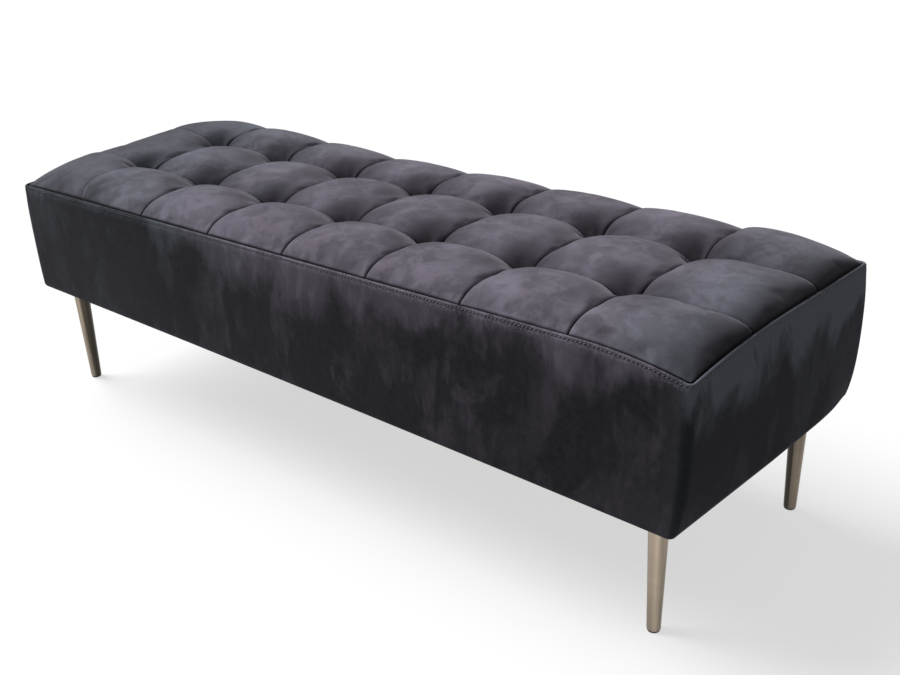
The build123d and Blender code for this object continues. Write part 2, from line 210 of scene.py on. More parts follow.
def finish(name, constants, recipe):
    """A Principled material: constants go straight on its sockets, and a recipe gives the rest."""
    material = bpy.data.materials.new(name)
    material.use_nodes = True
    tree = material.node_tree
    shader = tree.nodes["Principled BSDF"]
    for socket, value in constants.items():
        shader.inputs[socket].default_value = value
    for socket, wire in recipe(Wire(tree)).items():
        tree.links.new(wire.socket, shader.inputs[socket])
    return material


print("shader helpers ready")

# %% [markdown]
# ## Velvet
#
# Velvet is a dark ground with a short pile. Seen straight on it looks nearly black, and seen along
# the surface the pile's tips catch the light, which is what the shader's sheen does. Hands brush
# the pile this way and that, so pale smudges lie over it: broad and soft on the top, upright and
# streaky on the sides. Below the top seam the sides get a pale band that is painted sheen, and the
# tufts, seams and grooves get painted shade.

# %% Velvet for the top and for the border
# The top's velvet is paler than the border's: partly its pile lies another way, and partly it is painted
# light, since the top faces the lamp.
TOP_DARK = (0.062, 0.057, 0.069, 1.0)
TOP_PALE = (0.305, 0.266, 0.335, 1.0)
TOP_COOL = (0.250, 0.272, 0.325, 1.0)
TUFT_SHADE = (0.010, 0.010, 0.012, 1.0)
SEWN_SHADE = (0.002, 0.002, 0.002, 1.0)
BORDER_DARK = (0.015, 0.016, 0.018, 1.0)
BORDER_PALE = (0.270, 0.240, 0.300, 1.0)
BORDER_COOL = (0.160, 0.190, 0.222, 1.0)
SHEEN_TINT = (0.90, 0.86, 0.97, 1.0)
TOP_SHEEN = {
    "Specular IOR Level": 0.0,
    "Sheen Weight": 0.42,
    "Sheen Roughness": 0.40,
    "Sheen Tint": SHEEN_TINT,
}
BORDER_SHEEN = {**TOP_SHEEN, "Sheen Weight": 0.55, "Sheen Roughness": 0.35}
BAND_EDGE = 0.065
BAND_DEPTH = 0.11
CORNER_REACH = 0.045
END_STARTS = SEAM_X - 0.012
END_FULL = SEAM_X + 0.003


def pile_bump(start):
    """The pile itself: tufts of fibre a little under a millimetre apart."""
    fibres = noise(start, 1500.0, 2.0, 0.6)
    return bump(start, fibres, 0.25, 0.0006)


def along(start, axis):
    """One of the object coordinates."""
    place = start.node("ShaderNodeTexCoord", out="Object")
    return start.node("ShaderNodeSeparateXYZ", None, {0: place}, axis)


def painted(start, name):
    """A value that the mesh carries at its points."""
    return start.node("ShaderNodeAttribute", {"attribute_name": name}, out="Fac")


def top_velvet(start):
    """Velvet of the top: brushed softly, with painted shade in the tufts, on turned flanks, at both ends
    and along the seams, and cooler towards both ends.
    """
    brushed = noise(start, 9.0, 4.0, 0.62, 0.3).step(0.34, 0.68)
    hand = noise(start, 30.0, 4.0, 0.60, 0.5).step(0.42, 0.60)
    mottle = noise(start, 150.0, 3.0, 0.65)
    speckle = noise(start, 900.0, 1.0, 0.5)
    nap = brushed * 0.34 + hand * 0.26 + mottle * 0.26 + speckle * 0.20 + 0.06
    across = along(start, "X")
    cool = (0.0 - across).step(0.08, 0.55) * 0.8 + across.step(0.48, 0.69) * 0.8 + brushed * 0.2
    # Painted shade carried by the mesh: the tufts' hollows, both ends and the flanks turned from the lamp.
    shaded = painted(start, "tuft_shade") * (0.70 + hand * 0.16)
    pressed_and_shaded = shaded.mix(nap.mix(TOP_DARK, cool.mix(TOP_PALE, TOP_COOL)), TUFT_SHADE)
    # Painted shade: a dark line along the seams and round the rim.
    painted_seam_shade = painted(start, "seam_shade").step(0.2, 0.9)
    return {
        "Base Color": painted_seam_shade.mix(pressed_and_shaded, SEWN_SHADE),
        "Roughness": 0.9 - brushed * 0.12,
        "Normal": pile_bump(start),
    }


def border_velvet(start):
    """Velvet of the border: patches in the pile, a pale band of painted sheen that hangs raggedly from the
    seam, painted light on the right end and its corners, a painted highlight on the ridge and painted shade
    in the grooves.
    """
    across = along(start, "X")
    upright = along(start, "Z")
    patches = noise(start, (15.0, 15.0, 8.0), 5.0, 0.56, 0.3).step(0.49, 0.60)
    drips = noise(start, (44.0, 44.0, 15.0), 4.0, 0.60, 0.3).step(0.46, 0.62)
    clouds = noise(start, 5.0, 2.0, 0.50).step(0.38, 0.62)
    mottle = noise(start, 110.0, 3.0, 0.65)
    grain = noise(start, 340.0, 2.0, 0.6).step(0.40, 0.62)
    # Painted light: a pale band of painted sheen hangs raggedly below the seam, strongest near it; the
    # right end is paler all over with a stronger band, and the corners next to it get a painted highlight.
    near_end = across.step(END_STARTS, END_FULL)
    ragged = noise(start, (14.0, 15.0, 9.0), 5.0, 0.58, 0.3)
    middle = across.step(-0.42, 0.02) * (1.0 - across.step(0.10, 0.45))
    hang = ragged * 0.25 + middle * 0.050 + near_end * 0.045 - 0.080
    fade = 0.4 + upright.step(SEAM_Z - BAND_DEPTH, SEAM_Z) * 0.6
    band = (upright + hang).step(SEAM_Z, SEAM_Z + BAND_EDGE) * fade
    corner = across.step(SEAM_X - CORNER_REACH, SEAM_X) * (1.0 - near_end)
    # Painted shade in the grooves by the ridge and a painted highlight on the ridge, both carried by the
    # mesh.
    groove = painted(start, "seam_shade")
    ridge_highlight = (0.0 - groove).step(0.0, 1.0)
    brushed = patches * (0.06 + clouds * 0.10) + drips * (0.02 + patches * 0.06)
    hung = band * (0.36 + drips * 0.14 + near_end * 0.78)
    pale = hung + brushed + corner * 0.12 + near_end * 0.10 + mottle * 0.15 + ridge_highlight * grain * 0.30
    cool = (0.0 - across).step(-0.05, 0.42) + near_end * 0.8 + corner * 0.7
    velvet = pale.mix(BORDER_DARK, cool.mix(BORDER_PALE, BORDER_COOL))
    return {
        "Base Color": groove.mix(velvet, SEWN_SHADE),
        "Roughness": 0.92 - pale * 0.15,
        "Normal": pile_bump(start),
    }


velvet_top = finish("velvet_top", TOP_SHEEN, top_velvet)
velvet_border = finish("velvet_border", BORDER_SHEEN, border_velvet)
print("velvet:", velvet_top.name, velvet_border.name)

# %% [markdown]
# ## The box's outline
#
# The top, the border, the foam and the stitches all follow one outline, so it is written once. A
# place round the box is a point on the straight sides and an outward direction. The sides swell
# a little. The top seam rises along the front towards the right, sags a little at the back, and
# dips to each corner by its own amount, as hand-sewn covers do.

# %% Outline, swell and seam height
CORNER_DIPS = {(-1, -1): 0.000, (1, -1): 0.0175, (-1, 1): -0.002, (1, 1): 0.001}
DIP_REACH = 0.170
FRONT_TILT = 0.0125
FRONT_DROP = 0.0035
BACK_SAG = 0.008
BACK_SAG_X = -0.14
BACK_SAG_REACH = 0.26
FRONT_SPREAD = 0.011
FRONT_SAG = 0.004
CORNER_TUCK = 0.006
TUCK_REACH = 0.050
TUCK_CURVE = 6
UPPER_CURVE = 3
FOOT_RELIEF = 0.008


def unit(value):
    """A value held between 0 and 1."""
    return np.clip(value, 0, 1)


def fading(distance, reach):
    """1 at no distance, fading to 0 past a reach."""
    return np.exp(-((distance / reach) ** 2))


def foot_share(height):
    """0 where a padded side is fullest, rising to 1 at its foot."""
    return (np.clip(BOTTOM_Z + SWELL_HEIGHT - height, 0, None) / SWELL_HEIGHT) ** FOOT_CURVE


def side_inset(height, foot_inset):
    """How far a padded side stands in from its fullest part at a height above the floor."""
    swell_z = BOTTOM_Z + SWELL_HEIGHT
    above = SIDE_SWELL * (np.clip(height - swell_z, 0, None) / (SEAM_Z - swell_z)) ** UPPER_CURVE
    return above + foot_inset * foot_share(height)


def seam_height(x, y):
    """Height of the top seam's surface over a place on the box."""
    reach = unit((np.abs(x) - SEAM_X + DIP_REACH) / DIP_REACH) ** 2
    across = unit(np.abs(y) / SEAM_Y) ** 2
    dip = np.zeros_like(x)
    for (side_x, side_y), depth in CORNER_DIPS.items():
        dip = np.where((x * side_x >= 0) & (y * side_y >= 0), depth, dip)
    front = unit(0.5 - 0.5 * y / SEAM_Y) ** 2 * (FRONT_TILT * x / SEAM_X - FRONT_DROP)
    back = unit(0.5 + 0.5 * y / SEAM_Y) ** 2 * fading(x - BACK_SAG_X, BACK_SAG_REACH)
    return SEAM_Z + front - BACK_SAG * back - dip * reach * across


def stations(step, corner_steps):
    """Places round the box: shares of the straight sides, and outward directions, anticlockwise."""
    along_x = np.linspace(-1, 1, int(2 * HALF_LENGTH / step), endpoint=False)
    along_y = np.linspace(-1, 1, int(2 * HALF_WIDTH / step), endpoint=False)
    turn = np.linspace(0, math.pi / 2, corner_steps, endpoint=False)
    shares, directions = [], []
    for quarter in range(4):
        angle = quarter * math.pi / 2
        turned = np.array([[math.cos(angle), -math.sin(angle)], [math.sin(angle), math.cos(angle)]])
        run = along_y if quarter % 2 else along_x
        side = np.column_stack([run, np.full_like(run, -1.0)])
        corner = np.column_stack([np.sin(turn), -np.cos(turn)])
        shares += [side @ turned.T, np.tile(turned @ (1.0, -1.0), (corner_steps, 1))]
        directions += [np.tile(turned @ (0.0, -1.0), (len(run), 1)), corner @ turned.T]
    return np.concatenate(shares), np.concatenate(directions)


def ring(shares, directions, end_inset, long_inset):
    """Points of the outline at insets from the overall size, for the ends and for the long sides."""
    sharper = unit(np.maximum(long_inset / SIDE_SWELL, end_inset / END_FOOT_INSET))
    radius = CORNER_RADIUS - (CORNER_RADIUS - SEAM_CORNER) * sharper
    half = np.stack([HALF_LENGTH - end_inset - radius, HALF_WIDTH - long_inset - radius], axis=-1)
    return shares * half + directions * np.reshape(radius, (-1, 1))


def draw_foot(points, height, hang=1.0):
    """Move points of the cover as it was drawn under the frame, which each corner shows in its own way."""
    x, y = points.T
    low = unit((SEAM_Z - height) / (SEAM_Z - BOTTOM_Z))
    under = low**TUCK_CURVE
    near = unit(0.5 + 0.5 * x / HALF_LENGTH) ** 2 * unit(-y / HALF_WIDTH)
    tuck = CORNER_TUCK * fading(np.hypot(x - HALF_LENGTH, y - HALF_WIDTH), TUCK_REACH) * under
    relief = FOOT_RELIEF * (1 - near) * foot_share(height) * x / HALF_LENGTH
    rise = tuck - FRONT_SAG * near * under * hang
    return np.column_stack([x + relief - tuck, y - tuck - FRONT_SPREAD * near * low, height + rise])


def grid_faces(rows, columns, closed=False):
    """Quads over a grid of points that is stored row by row, joined round if it is closed."""
    last = columns if closed else columns - 1
    row, column = np.meshgrid(np.arange(rows - 1), np.arange(last), indexing="ij")
    here = row * columns + column
    beside = row * columns + (column + 1) % columns
    return np.stack([here, beside, beside + columns, here + columns], axis=-1).reshape(-1, 4)


def mesh_piece(name, points, faces, material=None):
    """A smooth mesh object at the origin, with its place in its mesh."""
    mesh = bpy.data.meshes.new(name)
    mesh.from_pydata(np.asarray(points).reshape(-1, 3).tolist(), [], [list(map(int, f)) for f in faces])
    if material:
        mesh.materials.append(material)
    mesh.shade_smooth()
    return linked(name, mesh)


def bake(piece):
    """Replace a piece's mesh by its evaluated one, so that no modifier is left on it."""
    evaluated = piece.evaluated_get(bpy.context.evaluated_depsgraph_get())
    old = piece.data
    piece.data = bpy.data.meshes.new_from_object(evaluated)
    piece.data.name = piece.name
    piece.modifiers.clear()
    bpy.data.meshes.remove(old)
    return piece


def face_outward(mesh):
    """Turn every face of a closed mesh outwards."""
    work = bmesh.new()
    work.from_mesh(mesh)
    bmesh.ops.recalc_face_normals(work, faces=work.faces)
    work.to_mesh(mesh)
    work.free()


def thicken(cloth, thickness):
    """Give a cloth its thickness, inwards from its outer face."""
    solid = cloth.modifiers.new("thickness", "SOLIDIFY")
    solid.thickness = thickness
    solid.offset = -1.0
    bake(cloth)
    cloth.data.shade_smooth()


def paint(piece, name, values, domain="POINT"):
    """Give a mesh a value at each of its points or edges."""
    attribute = piece.data.attributes.new(name, "FLOAT", domain)
    attribute.data.foreach_set("value", np.asarray(values, np.float32).ravel())


print("outline helpers ready")

# %% [markdown]
# ## Tufted top
#
# The top panel is velvet over wadding, sewn in a grid of 24 pillows and pulled down by twine at
# the 14 crossings. Each seam arches from tuft to tuft, and each pillow swells above its four
# seams. On this bench one cross seam is lost at the left of the front, and both lengthwise seams
# fade out towards the left end. The start shape is a formula: an arch along each seam and a crown
# between them. Cloth simulation then blows the cloth up against its sewn lines, so the pillows get
# the fullness and small puckers that no formula has.

# %% Start shape of the pillows
CROSS_SEAM_CREST = {0: 0.017, 1: 0.013, 2: 0.017}
LONG_SEAM_CREST = 0.014
PILLOW_BULGE = 0.0065
TUFT_DEPTH = 0.018
STITCH_PULL = 0.0025
LOST_SEAM = 0.1
FADED_SEAM = 0.35
LOST_FILL = 0.0075
FADED_FILL = 0.0050
LOST_REACH = 0.034
RIM_DIP = 0.0030
CREST_BLEND = 3.0
CROSS_FLATS = (4.0, 3.4)
LONG_FLATS = (5.0, 2.5)
BULGE_FLATS = (4.0, 2.5)
BULGE_STEEPS = (0.5, 0.9)
EDGE_FULL = 2.6
TUFT_STEEP = 1.05
RIM_STEEPS = (0.75, 0.50)
END_STEEPS = (0.34, 0.40)
CELL_FULLNESS = {(0, 0): 1.3, (1, 0): 0.5, (2, 0): 0.7, (2, 7): 1.9}
PULL_FOLDS = 0.0013
FOLD_REACH = 0.022
FOLD_COUNT = 7
WIDE_FOLD_COUNT = 3
PANEL_INSET = 0.0024
COLUMN_STEPS = 26
ROW_STEPS = 24
CROWDING = 0.65
UNEVEN_SEED = 11
UNEVEN_CROWN = 0.12
# Reach and strength of the painted shade round the tufts, at the ends and by the rim.
TUFT_SHADE_REACH = 0.064
END_SHADE_REACH = 0.050
END_SHADE = 0.68
LEFT_SHADE_REACH = 0.230
LEFT_SHADE = 0.50
RIM_SHADE = 0.20

panel_x = SEAM_X - PANEL_INSET
panel_y = SEAM_Y - PANEL_INSET
row_lines = (-panel_y, -TUFT_Y, TUFT_Y, panel_y)
column_lines = np.linspace(-panel_x, panel_x, COLUMNS + 1)
ROWS = len(row_lines) - 1


def between(ends, share):
    """A value that runs from the first to the second of a pair."""
    return ends[0] + (ends[1] - ends[0]) * share


def arch(share, steeps, flat):
    """Rises from 0 at one seam to 1 midway and falls to 0 at the next. A smaller number is steeper."""
    return unit(1 - np.abs(2 * share - 1) ** flat) ** between(steeps, share)


def bulge(share, lean=0.0):
    """A flat-topped swelling between two seams. A lean makes its far flank gentler."""
    steeps = (BULGE_STEEPS[0], between(BULGE_STEEPS, lean))
    return arch(share, steeps, between(BULGE_FLATS, lean * share))


def crowded(steps):
    """Shares from 0 to 1 that crowd towards both seams."""
    even = np.linspace(0, 1, steps, endpoint=False)
    return (1 - CROWDING) * even + CROWDING * (0.5 - 0.5 * np.cos(math.pi * even))


def spread(lines, steps):
    """Grid lines from seam to seam, with the cell and the share of the cell for each."""
    cells = np.append(np.repeat(np.arange(len(lines) - 1), steps), len(lines) - 2)
    shares = np.append(np.tile(crowded(steps), len(lines) - 1), 1.0)
    lines = np.asarray(lines)
    return lines[cells] + shares * (lines[cells + 1] - lines[cells]), cells, shares


def edge_blend(cell, share, last):
    """1 in the grid, falling to 0 at the outer edge of the first and last cells."""
    blend = np.where(cell == 0, share, 1.0)
    blend = np.where(cell == last, np.minimum(blend, 1 - share), blend)
    return 1 - (1 - blend) ** EDGE_FULL


def seam_arch(cell, share, last, rim_steeps, flats):
    """The arch along a seam, gentle at the tufts and steep where it rises from the outer edge."""
    leaning = between(flats, share)
    inner = arch(share, (TUFT_STEEP, TUFT_STEEP), leaning)
    first = arch(share, (rim_steeps[0], TUFT_STEEP), leaning)
    final = arch(share, (TUFT_STEEP, rim_steeps[1]), flats[0])
    return np.where(cell == 0, first, np.where(cell == last, final, inner))


grid_x, cell_x, share_x = spread(column_lines, COLUMN_STEPS)
grid_y, cell_y, share_y = spread(row_lines, ROW_STEPS)
x, y = np.meshgrid(grid_x, grid_y)
keep_x = edge_blend(cell_x, share_x, COLUMNS - 1)[None, :]
keep_y = edge_blend(cell_y, share_y, ROWS - 1)[:, None]
depth = TUFT_DEPTH * np.minimum(keep_x, keep_y) + RIM_DIP * (1 - np.minimum(keep_x, keep_y))
cross_crest = np.array([CROSS_SEAM_CREST[cell] for cell in cell_y])[:, None] + depth
cross_arch = cross_crest * keep_x * seam_arch(cell_y, share_y, ROWS - 1, RIM_STEEPS, CROSS_FLATS)[:, None]
long_crest = LONG_SEAM_CREST + depth
long_arch = long_crest * keep_y * seam_arch(cell_x, share_x, COLUMNS - 1, END_STEEPS, LONG_FLATS)[None, :]
uneven = np.random.default_rng(UNEVEN_SEED)
fullness = 1 + UNEVEN_CROWN * uneven.uniform(-1, 1, (ROWS, COLUMNS))
for cell, factor in CELL_FULLNESS.items():
    fullness[cell] *= factor
fullness = fullness[np.ix_(cell_y, cell_x)]
lean_x = np.where(cell_x == COLUMNS - 1, 0.0, 1.0)
swelling = PILLOW_BULGE * fullness * bulge(share_x, lean_x)[None, :] * bulge(share_y)[:, None]
arches = (cross_arch**CREST_BLEND + long_arch**CREST_BLEND) ** (1 / CREST_BLEND)
lost = np.where(cell_y == 0, bulge(share_y), 0.0)[:, None]
lost = LOST_FILL * lost * fading(x - column_lines[1], LOST_REACH)
to_row = np.minimum(np.abs(y - row_lines[1]), np.abs(y - row_lines[2]))
faded = np.where(cell_x == 0, bulge(share_x), 0.0)[None, :]
faded = FADED_FILL * faded * fading(to_row, LOST_REACH)
pillows = arches + swelling - depth + lost + faded

tuft_places = [(tuft_x, tuft_y) for tuft_x in column_lines[1:-1] for tuft_y in row_lines[1:-1]]
for tuft_x, tuft_y in tuft_places:
    away = np.hypot(x - tuft_x, y - tuft_y) / FOLD_REACH
    angle = np.arctan2(y - tuft_y, x - tuft_x)
    folds = np.sin(FOLD_COUNT * angle + uneven.uniform(0, 2 * math.pi))
    folds = folds + np.sin(WIDE_FOLD_COUNT * angle + uneven.uniform(0, 6))
    pillows = pillows + PULL_FOLDS * folds * away * np.exp(1 - away**2)

sewn = np.zeros(pillows.shape, bool)
sewn[::ROW_STEPS, :] = True
sewn[:, ::COLUMN_STEPS] = True
inside = np.zeros(pillows.shape, bool)
inside[1:-1, 1:-1] = True
pull = (sewn & inside).astype(float)
pull[1:ROW_STEPS, COLUMN_STEPS] = LOST_SEAM
sewn[1:ROW_STEPS, COLUMN_STEPS] = False
pull[ROW_STEPS:-1:ROW_STEPS, 1:COLUMN_STEPS] = FADED_SEAM
sewn[ROW_STEPS:-1:ROW_STEPS, 1:COLUMN_STEPS] = False
pillows = pillows - STITCH_PULL * pull
print("pillows:", COLUMNS * ROWS, "grid", pillows.shape, f"highest {1000 * pillows.max():.1f} mm")


# %% Round the panel's corners and build its mesh
def rounded(x, y, half_x, half_y, radius):
    """Pull the square corners of a grid in to a rounded outline."""
    past_x = np.clip(np.abs(x) - half_x + radius, 0, None)
    past_y = np.clip(np.abs(y) - half_y + radius, 0, None)
    reach = np.hypot(past_x, past_y)
    pull = np.where(reach > 0, np.maximum(past_x, past_y) / np.maximum(reach, TINY), 1.0)
    corner = (past_x > 0) & (past_y > 0)
    round_x = np.sign(x) * (half_x - radius + past_x * pull)
    round_y = np.sign(y) * (half_y - radius + past_y * pull)
    return np.where(corner, round_x, x), np.where(corner, round_y, y)


place_x, place_y = rounded(x, y, panel_x, panel_y, SEAM_CORNER)
start_shape = np.stack([place_x, place_y, seam_height(place_x, place_y) + pillows], axis=-1)
rows, columns = pillows.shape
top = mesh_piece("tufted_panel", start_shape, grid_faces(rows, columns), velvet_top)
# Painted shade, kept in the mesh: darker round the tufts, towards both ends, and in lines along the seams
# and the rim.
to_tuft = np.min([np.hypot(x - tuft_x, y - tuft_y) for tuft_x, tuft_y in tuft_places], axis=0)
right_shade = END_SHADE * fading(panel_x - x, END_SHADE_REACH)
left_shade = LEFT_SHADE * fading(panel_x + x, LEFT_SHADE_REACH)
tuft_shade = fading(to_tuft, TUFT_SHADE_REACH)
rim_shade = np.where(inside, pull, 1.0)
rim_shade[[1, -2], :] = np.maximum(rim_shade[[1, -2], :], RIM_SHADE)
rim_shade[:, [1, -2]] = np.maximum(rim_shade[:, [1, -2]], RIM_SHADE)
paint(top, "seam_shade", rim_shade)
paint(top, "tuft_shade", np.maximum(tuft_shade, np.maximum(left_shade, right_shade)))
print("top grid:", len(top.data.vertices), "points")

# %% [markdown]
# The outer edge and the seam lines are held, apart from the faded seams, and air pressure swells
# the cloth between them. Each point may only move a little from the start shape, so the result
# stays close to the photograph's heights.

# %% Swell the pillows by cloth simulation
SWELL_FRAMES = 20
SWELL_PRESSURE = 4.0
SWELL_LIMIT = 0.006
SLACK = 0.008


def swell(piece, held):
    """Blow a cloth up against the points where it is held, and keep the result in its mesh."""
    group = piece.vertex_groups.new(name="sewn")
    group.add(np.flatnonzero(held.ravel()).tolist(), 1.0, "REPLACE")
    cloth = piece.modifiers.new("swell", "CLOTH")
    settings = cloth.settings
    settings.quality = 6
    settings.mass = 0.3
    settings.tension_stiffness = 15.0
    settings.compression_stiffness = 15.0
    settings.shear_stiffness = 8.0
    settings.bending_stiffness = 0.4
    settings.air_damping = 2.0
    settings.shrink_min = -SLACK
    settings.vertex_group_mass = group.name
    settings.use_pressure = True
    settings.uniform_pressure_force = SWELL_PRESSURE
    settings.effector_weights.gravity = 0.0
    cloth.point_cache.frame_start = 1
    cloth.point_cache.frame_end = SWELL_FRAMES
    before = np.array([v.co for v in piece.data.vertices])
    for number in range(1, SWELL_FRAMES + 1):
        bpy.context.scene.frame_set(number)
    evaluated = piece.evaluated_get(bpy.context.evaluated_depsgraph_get())
    after = np.array([v.co for v in evaluated.data.vertices])
    piece.modifiers.remove(cloth)
    bpy.context.scene.frame_set(1)
    move = after - before
    size = np.linalg.norm(move, axis=1, keepdims=True)
    capped = move * np.minimum(1, SWELL_LIMIT / np.maximum(size, TINY))
    piece.data.vertices.foreach_set("co", (before + capped).astype(np.float32).ravel())
    piece.data.update()
    return size


moved = swell(top, sewn)
print(f"swell: mean {1000 * moved.mean():.2f} mm, most {1000 * moved.max():.2f} mm")


# %% Crease the seams, subdivide, and close the panel underneath
SKIRT_DEPTH = 0.006
UNDER_INSET = 0.012
FLOOR_GAP = 0.003
LOWEST_TUFT = (seam_height(*np.array(tuft_places).T) - TUFT_DEPTH - STITCH_PULL).min()
PANEL_FLOOR = LOWEST_TUFT - FLOOR_GAP


def crease_seams(piece, held):
    """Mark the edges along sewn lines as sharp for the subdivision."""
    held = held.ravel()
    ends = np.array([e.vertices[:] for e in piece.data.edges])
    paint(piece, "crease_edge", held[ends[:, 0]] & held[ends[:, 1]], "EDGE")


def outward(point):
    """The outward direction at a point of the panel's edge."""
    core_x = max(SEAM_CORNER - panel_x, min(panel_x - SEAM_CORNER, point.x))
    core_y = max(SEAM_CORNER - panel_y, min(panel_y - SEAM_CORNER, point.y))
    return Vector((point.x - core_x, point.y - core_y, 0.0)).normalized()


def close_panel(piece):
    """Turn the edge down into the seam and close the panel's underside."""
    work = bmesh.new()
    work.from_mesh(piece.data)
    for inward in (0.0, UNDER_INSET):
        edge = [e for e in work.edges if e.is_boundary]
        made = bmesh.ops.extrude_edge_only(work, edges=edge)["geom"]
        for vertex in [g for g in made if isinstance(g, bmesh.types.BMVert)]:
            height = PANEL_FLOOR if inward else vertex.co.z - SKIRT_DEPTH
            vertex.co = (*(vertex.co - outward(vertex.co) * inward).xy, height)
    bmesh.ops.holes_fill(work, edges=[e for e in work.edges if e.is_boundary], sides=0)
    bmesh.ops.triangulate(work, faces=[f for f in work.faces if len(f.verts) > 4])
    bmesh.ops.recalc_face_normals(work, faces=work.faces)
    work.to_mesh(piece.data)
    work.free()


crease_seams(top, sewn)
finer = top.modifiers.new("finer", "SUBSURF")
finer.levels = finer.render_levels = 1
bake(top)
close_panel(top)
top.data.shade_smooth()
print(f"closed panel: lowest tuft {LOWEST_TUFT:.4f} m, floor {PANEL_FLOOR:.4f} m")

# %% [markdown]
# The flanks of the pillows that face right, away from the lamp, and a little forward get a painted
# shade. It can't follow a texture, because it depends on how the cloth is turned, so each point's
# normal gives it a share of shade, which is added to the painted shade of the tufts.

# %% Painted shade on the flanks turned away from the lamp
SHADED_FACING = np.array((0.95, -0.22, 0.0))
FLANK_SHADE_LOW = 0.12
FLANK_SHADE_HIGH = 0.52
FLANK_SHADE = 0.62

normals = np.empty(3 * len(top.data.vertices), np.float32)
top.data.vertex_normals.foreach_get("vector", normals)
# Points whose normal turns right, away from the lamp, and a little forward get painted shade.
turned = unit((normals.reshape(-1, 3) @ SHADED_FACING - FLANK_SHADE_LOW) / (FLANK_SHADE_HIGH - FLANK_SHADE_LOW))
attribute = top.data.attributes["tuft_shade"]
hollows = np.empty(len(turned), np.float32)
attribute.data.foreach_get("value", hollows)
# The painted flank shade, smoothed, joined to the painted shade of the tufts below.
lean = FLANK_SHADE * turned * turned * (3 - 2 * turned)
attribute.data.foreach_set("value", (1 - (1 - hollows) * (1 - lean)).astype(np.float32))
print(f"painted flank shade: mean shade {lean.mean():.3f}")

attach(top, "root")
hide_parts("tufted_top")
print("tufted top:", len(top.data.polygons), "faces")

# %% [markdown]
# ## Velvet border
#
# The border is one strip of velvet round the box. Its upper edge is felled: turned over and
# stitched flat, so a low ridge runs below the seam. The lower edge is pulled round the frame and
# stapled under it. The strip is built as rows of points that follow the outline. The ridge and the
# stitch line below it are a short list: for each row its depth below the seam, its offset outwards
# and its shade, where 1 is a groove's painted shade and -1 a painted highlight on the ridge. A
# Solidify modifier gives the strip the velvet's thickness.

# %% Rows of the border, from the seam down to the hem
RIDGE = (
    (0.0090, -0.0046, 1.0),
    (0.0060, -0.0045, 1.0),
    (0.0042, -0.0042, 1.0),
    (0.0030, -0.0036, 0.8),
    (0.0023, -0.0027, -0.1),
    (0.0020, -0.0016, -0.8),
    (0.0022, -0.0007, -1.0),
    (0.0028, 0.0001, -1.0),
    (0.0036, 0.0005, -0.8),
    (0.0044, 0.0005, -0.1),
    (0.0051, 0.0001, 0.6),
    (0.0058, 0.0000, 0.6),
    (0.0066, 0.0003, -0.3),
    (0.0080, 0.0006, -1.0),
    (0.0100, 0.0007, -0.9),
    (0.0125, 0.0005, -0.5),
    (0.0180, 0.0002, 0.0),
)
SIDE_ROWS = 36
HEM_STEPS = 6
UNDER_ROWS = 6
BORDER_STEP = 0.0065
CORNER_STEPS = 9
WAVE = 0.0006
WAVES = ((9.0, 3.0, 21.0, 0.0), (17.0, -11.0, -13.0, 1.7))

shares, directions = stations(BORDER_STEP, CORNER_STEPS)
seam_ring = ring(shares, directions, SIDE_SWELL, SIDE_SWELL)
seam_line = seam_height(*seam_ring.T)


def border_row(height, out):
    """One row of points round the border at a height for each place and an offset outwards."""
    points = ring(shares, directions, side_inset(height, END_FOOT_INSET), side_inset(height, FOOT_INSET))
    return draw_foot(points + directions * np.reshape(out, (-1, 1)), height)


def hem_row(inset, height, hang):
    """One row of the hem, from the foot of the sides inwards under the frame."""
    points = ring(shares, directions, END_FOOT_INSET + inset, FOOT_INSET + inset)
    return draw_foot(points, np.full(len(points), height), hang)


def ripple(height):
    """Slight unevenness of padded sides."""
    x, y = seam_ring.T
    return WAVE * sum(np.sin(a * x + b * y + c * height + turn) for a, b, c, turn in WAVES)


border_rows = [border_row(seam_line - depth, out) for depth, out, _ in RIDGE]
lowest_ridge = RIDGE[-1][0]
for share in np.linspace(0, 1, SIDE_ROWS + 1)[1:]:
    height = (seam_line - lowest_ridge) * (1 - share) + (BOTTOM_Z + HEM_ROUND) * share
    border_rows.append(border_row(height, ripple(height) * math.sin(math.pi * share)))
for angle in np.linspace(0, math.pi / 2, HEM_STEPS + 1)[1:]:
    drop = HEM_ROUND * (1 - math.sin(angle))
    border_rows.append(hem_row(HEM_ROUND * (1 - math.cos(angle)), BOTTOM_Z + drop, 1.0))
for share in np.linspace(0, 1, UNDER_ROWS + 1)[1:]:
    border_rows.append(hem_row(HEM_ROUND + share * (HEM_WIDTH - HEM_ROUND), BOTTOM_Z, 1 - share))
border_faces = grid_faces(len(border_rows), len(shares), closed=True)[:, ::-1]
border = mesh_piece("velvet_border", np.array(border_rows), border_faces, velvet_border)
# The ridge's shades are painted: shade in the grooves and at the stitch line, and a highlight on the ridge.
groove = np.zeros((len(border_rows), len(shares)))
groove[: len(RIDGE)] = np.array(RIDGE)[:, 2:]
paint(border, "seam_shade", groove)
print("border:", len(border_rows), "rows of", len(shares), "points")

thicken(border, VELVET_THICKNESS)
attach(border, "root")
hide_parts("border_cover")

# %% [markdown]
# ## Foam inside
#
# Under the velvet lie a foam block on the deck and a foam sheet on each side of the frame. They
# don't show, but they carry the cover, so they follow the same outline a little further in. Each
# is a closed pad between two equal grids of points: an outer face and a flat back.

# %% Foam finish and a closed pad between two grids
FOAM_DARK = (0.56, 0.47, 0.26, 1.0)
FOAM_PALE = (0.74, 0.67, 0.43, 1.0)
SHARP_ANGLE = math.radians(40)


